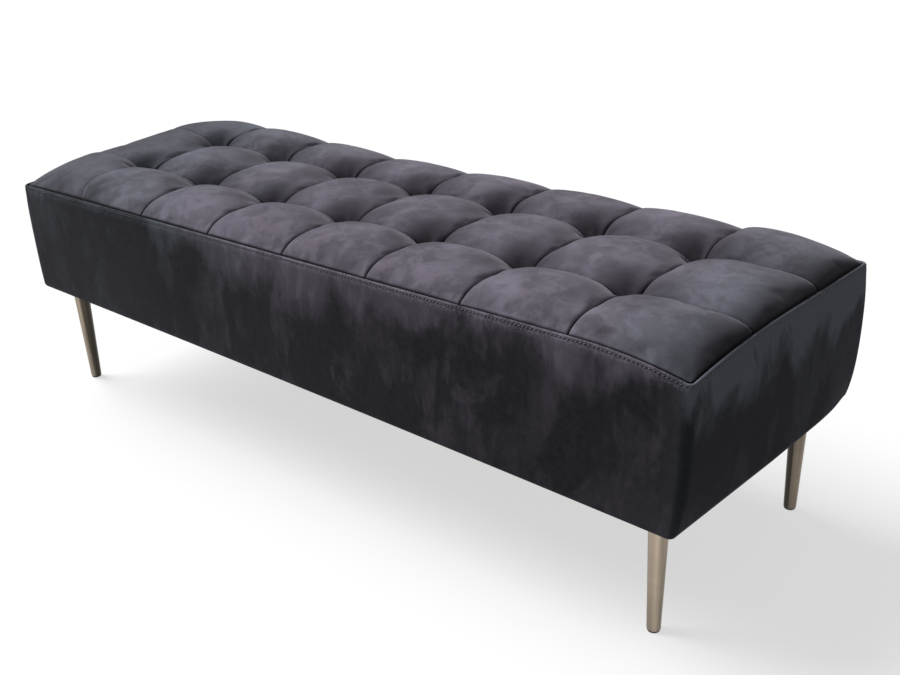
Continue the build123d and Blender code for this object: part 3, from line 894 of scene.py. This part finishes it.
def foam_finish(start):
    """Cut foam: fine open cells, yellowed unevenly."""
    aged = noise(start, 12.0, 2.0, 0.5)
    cells = noise(start, 900.0, 2.0, 0.7)
    return {
        "Base Color": (aged * 0.6 + cells * 0.4).mix(FOAM_DARK, FOAM_PALE),
        "Roughness": 0.85 + cells * 0.12,
        "Normal": bump(start, cells, 0.5, 0.001),
    }


foam = finish("seat_foam", {"Specular IOR Level": 0.2}, foam_finish)


def pad(name, face, back, node):
    """A closed pad that stands for a foam node, between two grids of the same shape."""
    rows, columns = face.shape[:2]
    count = rows * columns
    order = np.arange(count).reshape(rows, columns)
    rim = np.concatenate([order[0, :-1], order[:-1, -1], order[-1, :0:-1], order[:0:-1, 0]])
    after = np.roll(rim, -1)
    walls = np.column_stack([after, rim, rim + count, after + count])
    front_faces = grid_faces(rows, columns)
    faces = np.concatenate([front_faces, front_faces[:, ::-1] + count, walls])
    piece = mesh_piece(name, np.concatenate([face.reshape(-1, 3), back.reshape(-1, 3)]), faces, foam)
    face_outward(piece.data)
    piece.data.shade_smooth()
    piece.data.set_sharp_from_angle(angle=SHARP_ANGLE)
    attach(piece, "root")
    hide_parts(node)
    return piece


print("foam:", foam.name)

# %% Foam block on the deck, with a dimple under each tuft
FOAM_CLEARANCE = 0.0005
FOAM_DIMPLE = 0.008
DIMPLE_REACH = 0.030
LONG_COLUMNS = 121
SHORT_COLUMNS = 41

foam_lines_x = np.linspace(-FRAME_X, FRAME_X, LONG_COLUMNS)
foam_lines_y = np.linspace(-FRAME_Y, FRAME_Y, SHORT_COLUMNS)
foam_x, foam_y = np.meshgrid(foam_lines_x, foam_lines_y)
dimples = sum(fading(np.hypot(foam_x - a, foam_y - b), DIMPLE_REACH) for a, b in tuft_places)
foam_top = PANEL_FLOOR - FOAM_CLEARANCE - FOAM_DIMPLE * dimples
block_face = np.stack([foam_x, foam_y, foam_top], axis=-1)
block_back = np.stack([foam_x, foam_y, np.full_like(foam_x, DECK_TOP + FOAM_CLEARANCE)], axis=-1)
foam_block = pad("foam_block", block_face, block_back, "seat_foam")
print("foam block:", len(foam_block.data.polygons), "faces")

# %% Foam sheets on the four sides of the frame
SKIN = VELVET_THICKNESS + FOAM_CLEARANCE
PAD_ROWS = 25
PAD_COLUMNS = 101
PAD_TOP_GAP = 0.009


def side_pad(side, node):
    """A foam sheet between a rail and the velvet. The long sides run past the frame's corners."""
    long_side = side[0] == 0
    run = np.linspace(-1, 1, PAD_COLUMNS if long_side else SHORT_COLUMNS)[None, :]
    share = np.linspace(0, 1, PAD_ROWS)[:, None]
    seam_place = (run * SEAM_X, side[1] * SEAM_Y) if long_side else (side[0] * SEAM_X, run * SEAM_Y)
    top_line = seam_height(*np.broadcast_arrays(*seam_place)) - PAD_TOP_GAP
    height = (BOTTOM_Z + SKIN) * (1 - share) + top_line * share
    end_x = HALF_LENGTH - side_inset(height, END_FOOT_INSET) - SKIN
    long_y = HALF_WIDTH - side_inset(height, FOOT_INSET) - SKIN
    if long_side:
        face_x, face_y = rounded(run * end_x, side[1] * long_y, end_x, long_y, CORNER_RADIUS - SKIN)
        back_x, back_y = face_x, np.full_like(face_y, side[1] * (FRAME_Y + FOAM_CLEARANCE))
    else:
        face_x, face_y = side[0] * end_x, run * FRAME_Y + 0 * height
        back_x, back_y = np.full_like(face_x, side[0] * (FRAME_X + FOAM_CLEARANCE)), face_y
    flat = np.column_stack([face_x.ravel(), face_y.ravel()])
    face = draw_foot(flat, height.ravel()).reshape(*height.shape, 3)
    return pad(node + "_foam", face, np.stack([back_x, back_y, height], axis=-1), node)


for side, node in (((0, -1), "front"), ((0, 1), "back"), ((-1, 0), "left"), ((1, 0), "right")):
    sheet_of_foam = side_pad(side, node + "_padding")
    print(sheet_of_foam.name, len(sheet_of_foam.data.polygons), "faces")

# %% [markdown]
# ## Cloth under the frame
#
# A black nonwoven cloth closes the underside. It is stapled to the rails through its edge, hangs a
# few millimetres in the middle, and puckers between the staples. The sheet is a grid with a formula
# for its sag, which is quicker than a simulation and as good here.

# %% Dust cloth
DUST_SAG = 0.005
SAG_CURVES = (8, 4)
PUCKER = 0.0005
PUCKER_REACH = 0.020
PLATE_REACH = 0.060
STAPLE_PITCH = 0.045
DUST_COLUMNS = 241
DUST_ROWS = 81
DUST_DARK = (0.006, 0.006, 0.006, 1.0)
DUST_PALE = (0.022, 0.022, 0.023, 1.0)


def dust_finish(start):
    """Spunbonded cloth: matted fibres with a grid of heat-bonded points."""
    fibres = noise(start, 420.0, 4.0, 0.75)
    pressed_and_shaded = start.node("ShaderNodeTexVoronoi", None, {"Scale": 380.0, "Randomness": 0.15}, "Distance")
    web = fibres.step(0.35, 0.7) * 0.7 + pressed_and_shaded * 0.3
    return {
        "Base Color": web.mix(DUST_DARK, DUST_PALE),
        "Roughness": 0.7 + fibres * 0.25,
        "Normal": bump(start, web, 0.4, 0.0008),
    }


dust_low, dust_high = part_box("dust_cover")
dust_lines_x = np.linspace(-1, 1, DUST_COLUMNS) * dust_high.x
dust_lines_y = np.linspace(-1, 1, DUST_ROWS) * dust_high.y
dust_grid_x, dust_grid_y = np.meshgrid(dust_lines_x, dust_lines_y)
to_edge = np.minimum(dust_high.x - np.abs(dust_grid_x), dust_high.y - np.abs(dust_grid_y))
plate_low, plate_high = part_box("leg_plate_front_right")
past_plate_x = np.clip(plate_low.x - np.abs(dust_grid_x), 0, None)
past_plate_y = np.clip(-plate_high.y - np.abs(dust_grid_y), 0, None)
sag = 1 - fading(np.hypot(past_plate_x, past_plate_y), PLATE_REACH)
sag = sag * (1 - (dust_grid_x / dust_high.x) ** SAG_CURVES[0])
sag = sag * (1 - (dust_grid_y / dust_high.y) ** SAG_CURVES[1])
turns = 2 * math.pi / STAPLE_PITCH
edge_wave = np.cos(turns * dust_grid_x) + np.cos(turns * dust_grid_y)
pucker = PUCKER * edge_wave * np.exp(-to_edge / PUCKER_REACH) * unit(to_edge / PUCKER_REACH)
dust_x, dust_y = rounded(dust_grid_x, dust_grid_y, dust_high.x, dust_high.y, CORNER_RADIUS)
dust_points = np.stack([dust_x, dust_y, dust_high.z - DUST_SAG * sag - np.abs(pucker)], axis=-1)
dust_material = finish("dust_cloth", {"Specular IOR Level": 0.25}, dust_finish)
dust = mesh_piece("dust_cloth", dust_points, grid_faces(*dust_x.shape), dust_material)
thicken(dust, dust_high.z - dust_low.z)
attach(dust, "root")
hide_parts("dust_cover")
print("dust cloth:", len(dust.data.polygons), "faces")

# %% [markdown]
# ## Things that repeat
#
# Stitches, staples, screws and twines are each one small shape, many times over. A Geometry Nodes
# tree is made for that: it takes a path or a set of points, puts a copy of the shape at each place
# and turns it along the path. Real hands aren't even, so each place may wander a little.


# %% A Geometry Nodes tree that repeats a shape
WANDER_SEED = 5


def repeat_tree(along_path, pivot):
    """A tree with named inputs that sets copies of a shape along a path or at separate points."""
    tree = bpy.data.node_groups.new("repeat_shape", "GeometryNodeTree")
    inputs = {
        "Places": "NodeSocketGeometry",
        "Shape": "NodeSocketObject",
        "Pitch": "NodeSocketFloat",
        "Wander": "NodeSocketFloat",
        "Finish": "NodeSocketMaterial",
    }
    for name, kind in inputs.items():
        tree.interface.new_socket(name, in_out="INPUT", socket_type=kind)
    tree.interface.new_socket("Made", in_out="OUTPUT", socket_type="NodeSocketGeometry")
    start = Wire(tree)
    given = start.node("NodeGroupInput").outputs()
    places = given["Places"]
    turn = (0.0, 0.0, 0.0)
    if along_path:
        curve = start.node("GeometryNodeMeshToCurve", None, {"Mesh": places})
        spacing = {"Curve": curve, "Length": given["Pitch"]}
        places = start.node("GeometryNodeResampleCurve", {"mode": "LENGTH"}, spacing)
        tangent = start.node("GeometryNodeInputTangent")
        settings = {"axis": "X", "pivot_axis": pivot}
        turn = start.node("FunctionNodeAlignRotationToVector", settings, {"Vector": tangent})
    chance = {0: (-1.0, -1.0, -1.0), 1: (1.0, 1.0, 1.0), "Seed": WANDER_SEED}
    offset = start.node("FunctionNodeRandomValue", {"data_type": "FLOAT_VECTOR"}, chance)
    wander = {0: offset, "Scale": given["Wander"]}
    offset = start.node("ShaderNodeVectorMath", {"operation": "SCALE"}, wander)
    places = start.node("GeometryNodeSetPosition", None, {"Geometry": places, "Offset": offset})
    shape = start.node("GeometryNodeObjectInfo", None, {"Object": given["Shape"]}, "Geometry")
    each = {"Points": places, "Instance": shape, "Rotation": turn}
    copies = start.node("GeometryNodeInstanceOnPoints", None, each)
    real = start.node("GeometryNodeRealizeInstances", None, {"Geometry": copies})
    finished = {"Geometry": real, "Material": given["Finish"]}
    start.node("NodeGroupOutput", None, {"Made": start.node("GeometryNodeSetMaterial", None, finished)})
    return tree


def repeated(name, places, shape, material, pitch=None, wander=0.0, pivot="AUTO"):
    """Copies of a shape along a closed path, or at separate places where no pitch is given."""
    count = len(places)
    edges = [(i, (i + 1) % count) for i in range(count)] if pitch else []
    mesh = bpy.data.meshes.new(name)
    mesh.from_pydata(np.asarray(places).tolist(), edges, [])
    piece = linked(name, mesh)
    tree = repeat_tree(pitch is not None, pivot)
    nodes = piece.modifiers.new("repeat", "NODES")
    nodes.node_group = tree
    values = {"Shape": shape, "Pitch": pitch or 0.0, "Wander": wander, "Finish": material}
    for socket in tree.interface.items_tree:
        if socket.name in values:
            nodes[socket.identifier] = values[socket.name]
    bake(piece)
    bpy.data.objects.remove(shape)
    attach(piece, "root")
    return piece


def lathe(name, profile, sides, lobes=0, twist=0.0, lobe_depth=0.0, axis="Z"):
    """A closed shape round an axis from (radius, height) pairs, with twisted lobes if asked."""
    turns = np.linspace(0, 2 * math.pi, sides, endpoint=False)
    rows = []
    for radius, height in profile:
        swell = radius * (1 + lobe_depth * np.cos(lobes * (turns - twist * height)))
        circle = [swell * np.cos(turns), swell * np.sin(turns), np.full(sides, height)]
        rows.append(np.column_stack(circle if axis == "Z" else circle[::-1]))
    faces = [list(f) for f in grid_faces(len(profile), sides, closed=True)]
    faces += [list(range(sides))[::-1], list(range(sides * (len(profile) - 1), sides * len(profile)))]
    shape = mesh_piece(name, np.concatenate(rows), faces)
    face_outward(shape.data)
    return shape


print("repeat helper ready")

# %% [markdown]
# ## Topstitching
#
# A row of stitches in grey thread runs in a narrow groove below the ridge and holds the felled seam
# flat. Each stitch is a small spindle that sinks into the velvet at both ends.

# %% Stitches below the ridge
STITCH_PITCH = 0.0062
STITCH_LENGTH = 0.0042
THREAD_RADIUS = 0.00065
STITCH_DEPTH = 0.0054
STITCH_OUT = 0.0006
STITCH_SIDES = 6
STITCH_WANDER = 0.00015
SPINDLE = ((0.30, -0.5), (0.85, -0.36), (1.0, 0.0), (0.85, 0.36), (0.30, 0.5))
THREAD_DARK = (0.050, 0.046, 0.055, 1.0)
THREAD_PALE = (0.300, 0.275, 0.330, 1.0)


def thread_finish(start):
    """Spun thread, catching the light along its twist."""
    twist = noise(start, 1800.0, 2.0, 0.6)
    colour = twist.step(0.35, 0.7).mix(THREAD_DARK, THREAD_PALE)
    return {"Base Color": colour, "Roughness": 0.45 + twist * 0.3}


thread = finish("grey_thread", {"Specular IOR Level": 0.4}, thread_finish)
spindle = [(radius * THREAD_RADIUS, place * STITCH_LENGTH) for radius, place in SPINDLE]
stitch = lathe("stitch", spindle, STITCH_SIDES, axis="X")
stitch_path = border_row(seam_line - STITCH_DEPTH, STITCH_OUT)
stitches = repeated("topstitching", stitch_path, stitch, thread, STITCH_PITCH, STITCH_WANDER)
print("topstitching:", len(stitches.data.polygons), "faces")

# %% [markdown]
# ## Metal and fixings
#
# The legs are tapered tubes of brushed nickel, warm and a little stained. The grinding marks run
# lengthwise, so the noise is stretched along the leg. The sides that face the room get a pale painted
# reflection, and those that face each other under the bench a dark one, apart from the front right
# leg. The legs are darker towards the foot, and the back legs darker overall. The plates, studs,
# washers and screws are zinc plated, which is greyer and mottled.

# %% Metal finishes
STUD_RADIUS = 0.004
NICKEL_DARK = (0.034, 0.032, 0.026, 1.0)
NICKEL_PALE = (0.470, 0.385, 0.300, 1.0)
LEG_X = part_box("leg_stud_front_right")[1].x - STUD_RADIUS
LEG_HEIGHT = 0.17
OUTER_EDGE = 0.0070
INNER_EDGE = 0.0060
INNER_FULL = 0.0095
ZINC_DARK = (0.36, 0.37, 0.38, 1.0)
ZINC_PALE = (0.62, 0.63, 0.64, 1.0)


def nickel_finish(start):
    """Brushed nickel with lengthwise grinding marks and stains, darker towards the foot and on the back
    legs, with a dark painted reflection on inner sides and a pale one on outer sides.
    """
    marks = noise(start, (900.0, 900.0, 14.0), 3.0, 0.6)
    bands = noise(start, (75.0, 75.0, 3.0), 2.0, 0.5).step(0.36, 0.62)
    stains = noise(start, 28.0, 3.0, 0.6).step(0.35, 0.75)
    across = along(start, "X")
    from_middle = start.maths("ABSOLUTE", across)
    upper = along(start, "Z").step(0.0, LEG_HEIGHT)
    rear = along(start, "Y").step(0.0, 0.1)
    # Painted reflections: dark on the inner sides, except on the front right leg, and pale on the outer
    # sides.
    inner = (LEG_X - from_middle + rear * INNER_FULL).step(INNER_EDGE, INNER_FULL)
    outer = (from_middle - LEG_X).step(0.0, OUTER_EDGE)
    lit = across.step(0.3, 0.5) * (1.0 - rear)
    tone = bands * 0.40 + marks * 0.22 + stains * 0.12 + upper * 0.18 + outer * 0.25 + 0.07
    shaded = tone * (1.0 - inner * (0.86 - lit * 0.86)) * (1.0 - rear * 0.45)
    return {
        "Base Color": shaded.mix(NICKEL_DARK, NICKEL_PALE),
        "Roughness": 0.26 + stains * 0.10 + marks * 0.10,
        "Normal": bump(start, marks, 0.15, 0.0003),
    }


def zinc_finish(start):
    """Zinc plating: dull grey with crystals that differ a little."""
    crystals = start.node("ShaderNodeTexVoronoi", None, {"Scale": 260.0}, "Distance")
    stains = noise(start, 70.0, 3.0, 0.6)
    return {
        "Base Color": (crystals * 0.5 + stains * 0.5).mix(ZINC_DARK, ZINC_PALE),
        "Roughness": 0.32 + stains * 0.25,
        "Normal": bump(start, stains, 0.1, 0.0005),
    }


nickel = finish("brushed_nickel", {"Metallic": 1.0}, nickel_finish)
zinc = finish("zinc_plate", {"Metallic": 1.0}, zinc_finish)
print("metals:", nickel.name, zinc.name)

# %% Staples round the dust cloth
STAPLE_CROWN = 0.010
STAPLE_LEG = 0.003
STAPLE_WIDTH = 0.0013
STAPLE_THICK = 0.0006
STAPLE_INSET = 0.004
STAPLE_BEND = 0.0004
STAPLE_WANDER = 0.0006


def staple_shape():
    """A staple as a flat wire bent twice, with its crown down and its legs up in the wood."""
    end = STAPLE_CROWN / 2
    path = [(end, STAPLE_LEG), (end, STAPLE_BEND), (end - STAPLE_BEND, 0)]
    wire = [Vector((-x, 0, z)) for x, z in path] + [Vector((x, 0, z)) for x, z in path[::-1]]
    points = []
    for i, spot in enumerate(wire):
        ahead = (wire[min(i + 1, len(wire) - 1)] - wire[max(i - 1, 0)]).normalized()
        side = Vector((-ahead.z, 0, ahead.x)) * STAPLE_THICK / 2
        across = Vector((0, STAPLE_WIDTH / 2, 0))
        points += [spot + side + across, spot + side - across, spot - side - across, spot - side + across]
    faces = [list(f) for f in grid_faces(len(wire), 4, closed=True)]
    faces += [[3, 2, 1, 0], list(range(4 * len(wire) - 4, 4 * len(wire)))]
    return mesh_piece("staple", [tuple(p) for p in points], faces, zinc)


edge_x = dust_high.x - STAPLE_INSET
edge_y = dust_high.y - STAPLE_INSET
staple_path = []
for sign_x, sign_y in ((1, -1), (1, 1), (-1, 1), (-1, -1)):
    ends = [(edge_x - CORNER_RADIUS, edge_y), (edge_x, edge_y - CORNER_RADIUS)]
    ends = ends if sign_x * sign_y < 0 else ends[::-1]
    staple_path += [(sign_x * a, sign_y * b, dust_low.z - STAPLE_THICK / 2) for a, b in ends]
staples = repeated("dust_staples", staple_path, staple_shape(), zinc, STAPLE_PITCH, STAPLE_WANDER, "Z")
print("staples:", len(staples.data.polygons), "faces")

# %% Screws of the leg plates, with a cross recess
SCREW_HEAD = 0.00375
SCREW_SHANK = 0.0020
SCREW_LENGTH = 0.025
SCREW_TIP = 0.0002
TIP_START = 0.85
RECESS_ARM = 0.0019
RECESS_HALF = 0.00048
RECESS_DEPTH = 0.0014
RECESS_TAPER = 0.8
PLATE_SCREW_SPACING = 0.030


def screw_shape():
    """A countersunk screw that points up: a cross recess in its head, a cone, a shank and a tip."""
    work = bmesh.new()
    lines = (-RECESS_ARM, -RECESS_HALF, RECESS_HALF, RECESS_ARM)
    grid = [[work.verts.new((x, y, 0)) for x in lines] for y in lines]
    cells = {}
    for i in range(3):
        for j in range(3):
            cells[i, j] = work.faces.new((grid[i][j], grid[i][j + 1], grid[i + 1][j + 1], grid[i + 1][j]))
    arms = [cells[i, j] for i, j in ((1, 0), (1, 1), (1, 2), (0, 1), (2, 1))]
    sunk = bmesh.ops.extrude_face_region(work, geom=arms)["geom"]
    for vertex in [g for g in sunk if isinstance(g, bmesh.types.BMVert)]:
        vertex.co = (vertex.co.x * RECESS_TAPER, vertex.co.y * RECESS_TAPER, RECESS_DEPTH)
    bmesh.ops.delete(work, geom=arms, context="FACES")
    loop = grid[0][:3] + [row[3] for row in grid[:3]] + grid[3][:0:-1] + [row[0] for row in grid[:0:-1]]
    angles = [math.atan2(v.co.y, v.co.x) for v in loop]
    outline = [(SCREW_HEAD, 0), (SCREW_SHANK, SCREW_HEAD - SCREW_SHANK)]
    outline += [(SCREW_SHANK, TIP_START * SCREW_LENGTH), (SCREW_TIP, SCREW_LENGTH)]
    for radius, height in outline:
        circle = [work.verts.new((radius * math.cos(a), radius * math.sin(a), height)) for a in angles]
        for k in range(len(loop)):
            work.faces.new((loop[k - 1], circle[k - 1], circle[k], loop[k]))
        loop = circle
    work.faces.new(loop)
    bmesh.ops.recalc_face_normals(work, faces=work.faces)
    mesh = bpy.data.meshes.new("plate_screw")
    work.to_mesh(mesh)
    work.free()
    return linked("plate_screw", mesh)


screw_places = []
for corner in ("front_left", "front_right", "back_left", "back_right"):
    plate_low, plate_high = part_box("leg_plate_" + corner)
    centre = (plate_low + plate_high) / 2
    for side_x, side_y in ((-1, -1), (-1, 1), (1, -1), (1, 1)):
        screw_x = centre.x + side_x * PLATE_SCREW_SPACING / 2
        screw_places.append((screw_x, centre.y + side_y * PLATE_SCREW_SPACING / 2, plate_low.z))
plate_screws = repeated("plate_screws", screw_places, screw_shape(), zinc)
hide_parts("leg_screws")
print("plate screws:", len(screw_places))

# %% [markdown]
# ## Tufting twines
#
# Each tuft is held by a waxed twine that runs through the foam and the deck and is knotted under
# a washer. The two strands show as a twisted lobed section.

# %% Twines with their knots
TWINE_RADIUS = 0.0012
TWINE_TWIST = 500.0
TWINE_RINGS = 60
TWINE_SIDES = 10
TWINE_STRANDS = 2
STRAND_DEPTH = 0.22
KNOT = ((0.2, 0.0), (0.75, 0.18), (1.0, 0.5), (0.8, 0.85))
TWINE_DARK = (0.24, 0.17, 0.09, 1.0)
TWINE_PALE = (0.52, 0.42, 0.27, 1.0)


def twine_finish(start):
    """Waxed linen: fibres along the twine, darker where the wax is thick."""
    fibres = noise(start, (1500.0, 1500.0, 200.0), 3.0, 0.6)
    colour = fibres.step(0.3, 0.7).mix(TWINE_DARK, TWINE_PALE)
    return {"Base Color": colour, "Roughness": 0.5 + fibres * 0.3}


twine_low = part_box("tuft_twines")[0].z
washer_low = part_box("tuft_washers")[0].z
twine_top = LOWEST_TUFT - FLOOR_GAP / 2
knot_height = washer_low - twine_low
profile = [(radius * KNOT_RADIUS, height * knot_height) for radius, height in KNOT]
twine_heights = np.linspace(knot_height, twine_top - twine_low, TWINE_RINGS)
profile += [(TWINE_RADIUS, height) for height in twine_heights]
twine = lathe("twine", profile, TWINE_SIDES, TWINE_STRANDS, TWINE_TWIST, STRAND_DEPTH)
twine_places = [(a, b, twine_low) for a, b in tuft_places]
twines = repeated("tufting_twines", twine_places, twine, finish("waxed_twine", {}, twine_finish))
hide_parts("tuft_twines")
print("twines:", len(twine_places), "up to", round(twine_top, 4))

# %% [markdown]
# ## Wood and plastic
#
# The frame is pine and the deck is plywood. Both are hidden by the cover, and they still get grain
# along their length, because the part may be taken apart. The glides are black plastic.

# %% Wood and plastic finishes
PINE_PALE = (0.62, 0.43, 0.23, 1.0)
PINE_DARK = (0.40, 0.24, 0.11, 1.0)
PLY_PALE = (0.66, 0.50, 0.31, 1.0)
PLY_DARK = (0.45, 0.31, 0.17, 1.0)
WOOD_RINGS = 38.0
PORE_SCALE = 8
GLIDE_BLACK = (0.010, 0.010, 0.010, 1.0)
GLIDE_SCUFFED = (0.045, 0.044, 0.042, 1.0)


def wood(pale, dark, scale):
    """A recipe for sawn wood, with its grain along the axis of the smallest scale."""

    def recipe(start):
        grain = noise(start, scale, 4.0, 0.6)
        rings = start.maths("SINE", grain * WOOD_RINGS) * 0.5 + 0.5
        pores = noise(start, tuple(PORE_SCALE * s for s in scale), 2.0, 0.7)
        tone = rings * 0.55 + pores * 0.45
        return {
            "Base Color": tone.mix(pale, dark),
            "Roughness": 0.55 + pores * 0.25,
            "Normal": bump(start, pores, 0.25, 0.0006),
        }

    return recipe


def glide_finish(start):
    """Moulded plastic: matt, with scuffs."""
    scuffs = noise(start, (500.0, 90.0, 300.0), 3.0, 0.6)
    grain = noise(start, 2200.0, 1.0, 0.5)
    return {
        "Base Color": scuffs.step(0.5, 0.75).mix(GLIDE_BLACK, GLIDE_SCUFFED),
        "Roughness": 0.42 + scuffs * 0.3,
        "Normal": bump(start, grain, 0.1, 0.0003),
    }


pine_along_x = finish("pine_long", {}, wood(PINE_PALE, PINE_DARK, (2.5, 30.0, 30.0)))
pine_along_y = finish("pine_cross", {}, wood(PINE_PALE, PINE_DARK, (30.0, 2.5, 30.0)))
plywood = finish("plywood", {}, wood(PLY_PALE, PLY_DARK, (2.0, 16.0, 200.0)))
plastic = finish("glide_plastic", {}, glide_finish)
finishes = {
    "front_rail": pine_along_x,
    "back_rail": pine_along_x,
    "left_rail": pine_along_y,
    "right_rail": pine_along_y,
    "cross_rail": pine_along_y,
    "corner_block": pine_along_x,
    "deck_board": plywood,
    "leg_plate": zinc,
    "leg_stud": zinc,
    "foot_glide": plastic,
    "frame_screws": zinc,
    "deck_screws": zinc,
    "tuft_washers": zinc,
    "leg": nickel,
}
for name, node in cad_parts.items():
    start_of_name = next((key for key in finishes if name.startswith(key)), None)
    if start_of_name and name != "leg_screws":
        node.data.materials.clear()
        node.data.materials.append(finishes[start_of_name])
print("finishes on CAD nodes:", len(finishes))

# %% [markdown]
# ## Floor, light and background
#
# The bench stands on a plain white floor. The floor is white to the camera and to reflections and
# greyer to bounced light, so that it doesn't light the sides from below. One large soft lamp shines
# from above the left end, and the world fills the shadows.

# %% Floor, lamp and world
FLOOR_SIZE = 40.0
FLOOR_BOUNCE = 0.30
FLOOR_SEEN = 0.50
FLOOR_GLOW = 0.63
WORLD_FILL = 0.14
WORLD_SEEN = 0.86
LAMP_STRENGTH = 2.9
LAMP_SPREAD = math.radians(45)
LAMP_PLACE = (-2.3, -0.4, 2.6)
LAMP_AIM = Vector((0, 0, 0.3))
BACKGROUND_RAYS = ("Is Camera Ray", "Is Glossy Ray", "Is Transmission Ray")


def grey(value):
    """A grey colour."""
    return (value, value, value, 1.0)


def sees_background(start):
    """1 for the camera, reflections and glass, 0 for bounced light."""
    rays = start.node("ShaderNodeLightPath").outputs()
    seen, glossy, through = [rays[name] for name in BACKGROUND_RAYS]
    return start.maths("MAXIMUM", start.maths("MAXIMUM", seen, glossy), through)


def floor_finish(start):
    """A floor that glows white to the camera and to reflections only."""
    seen = sees_background(start)
    glow = seen.mix(grey(0.0), grey(FLOOR_GLOW))
    return {"Base Color": seen.mix(grey(FLOOR_BOUNCE), grey(FLOOR_SEEN)), "Emission Color": glow}


floor_constants = {"Roughness": 1.0, "Specular IOR Level": 0.0, "Emission Strength": 1.0}
floor_material = finish("floor", floor_constants, floor_finish)
floor_corners = FLOOR_SIZE / 2 * np.array(((-1, -1, 0), (1, -1, 0), (1, 1, 0), (-1, 1, 0)))
floor = mesh_piece("floor", floor_corners, [(0, 1, 2, 3)], floor_material)

world = bpy.data.worlds.new("studio")
world.use_nodes = True
start = Wire(world.node_tree)
background = world.node_tree.nodes["Background"]
strength = sees_background(start) * WORLD_SEEN + WORLD_FILL
world.node_tree.links.new(strength.socket, background.inputs["Strength"])
background.inputs["Color"].default_value = grey(1.0)
bpy.context.scene.world = world

lamp = bpy.data.lights.new("softbox", "SUN")
lamp.energy = LAMP_STRENGTH
lamp.angle = LAMP_SPREAD
softbox = linked("softbox", lamp)
softbox.location = LAMP_PLACE
softbox.rotation_euler = (LAMP_AIM - softbox.location).to_track_quat("-Z", "Y").to_euler()
bpy.context.scene.view_settings.view_transform = "Standard"
print("stage ready")
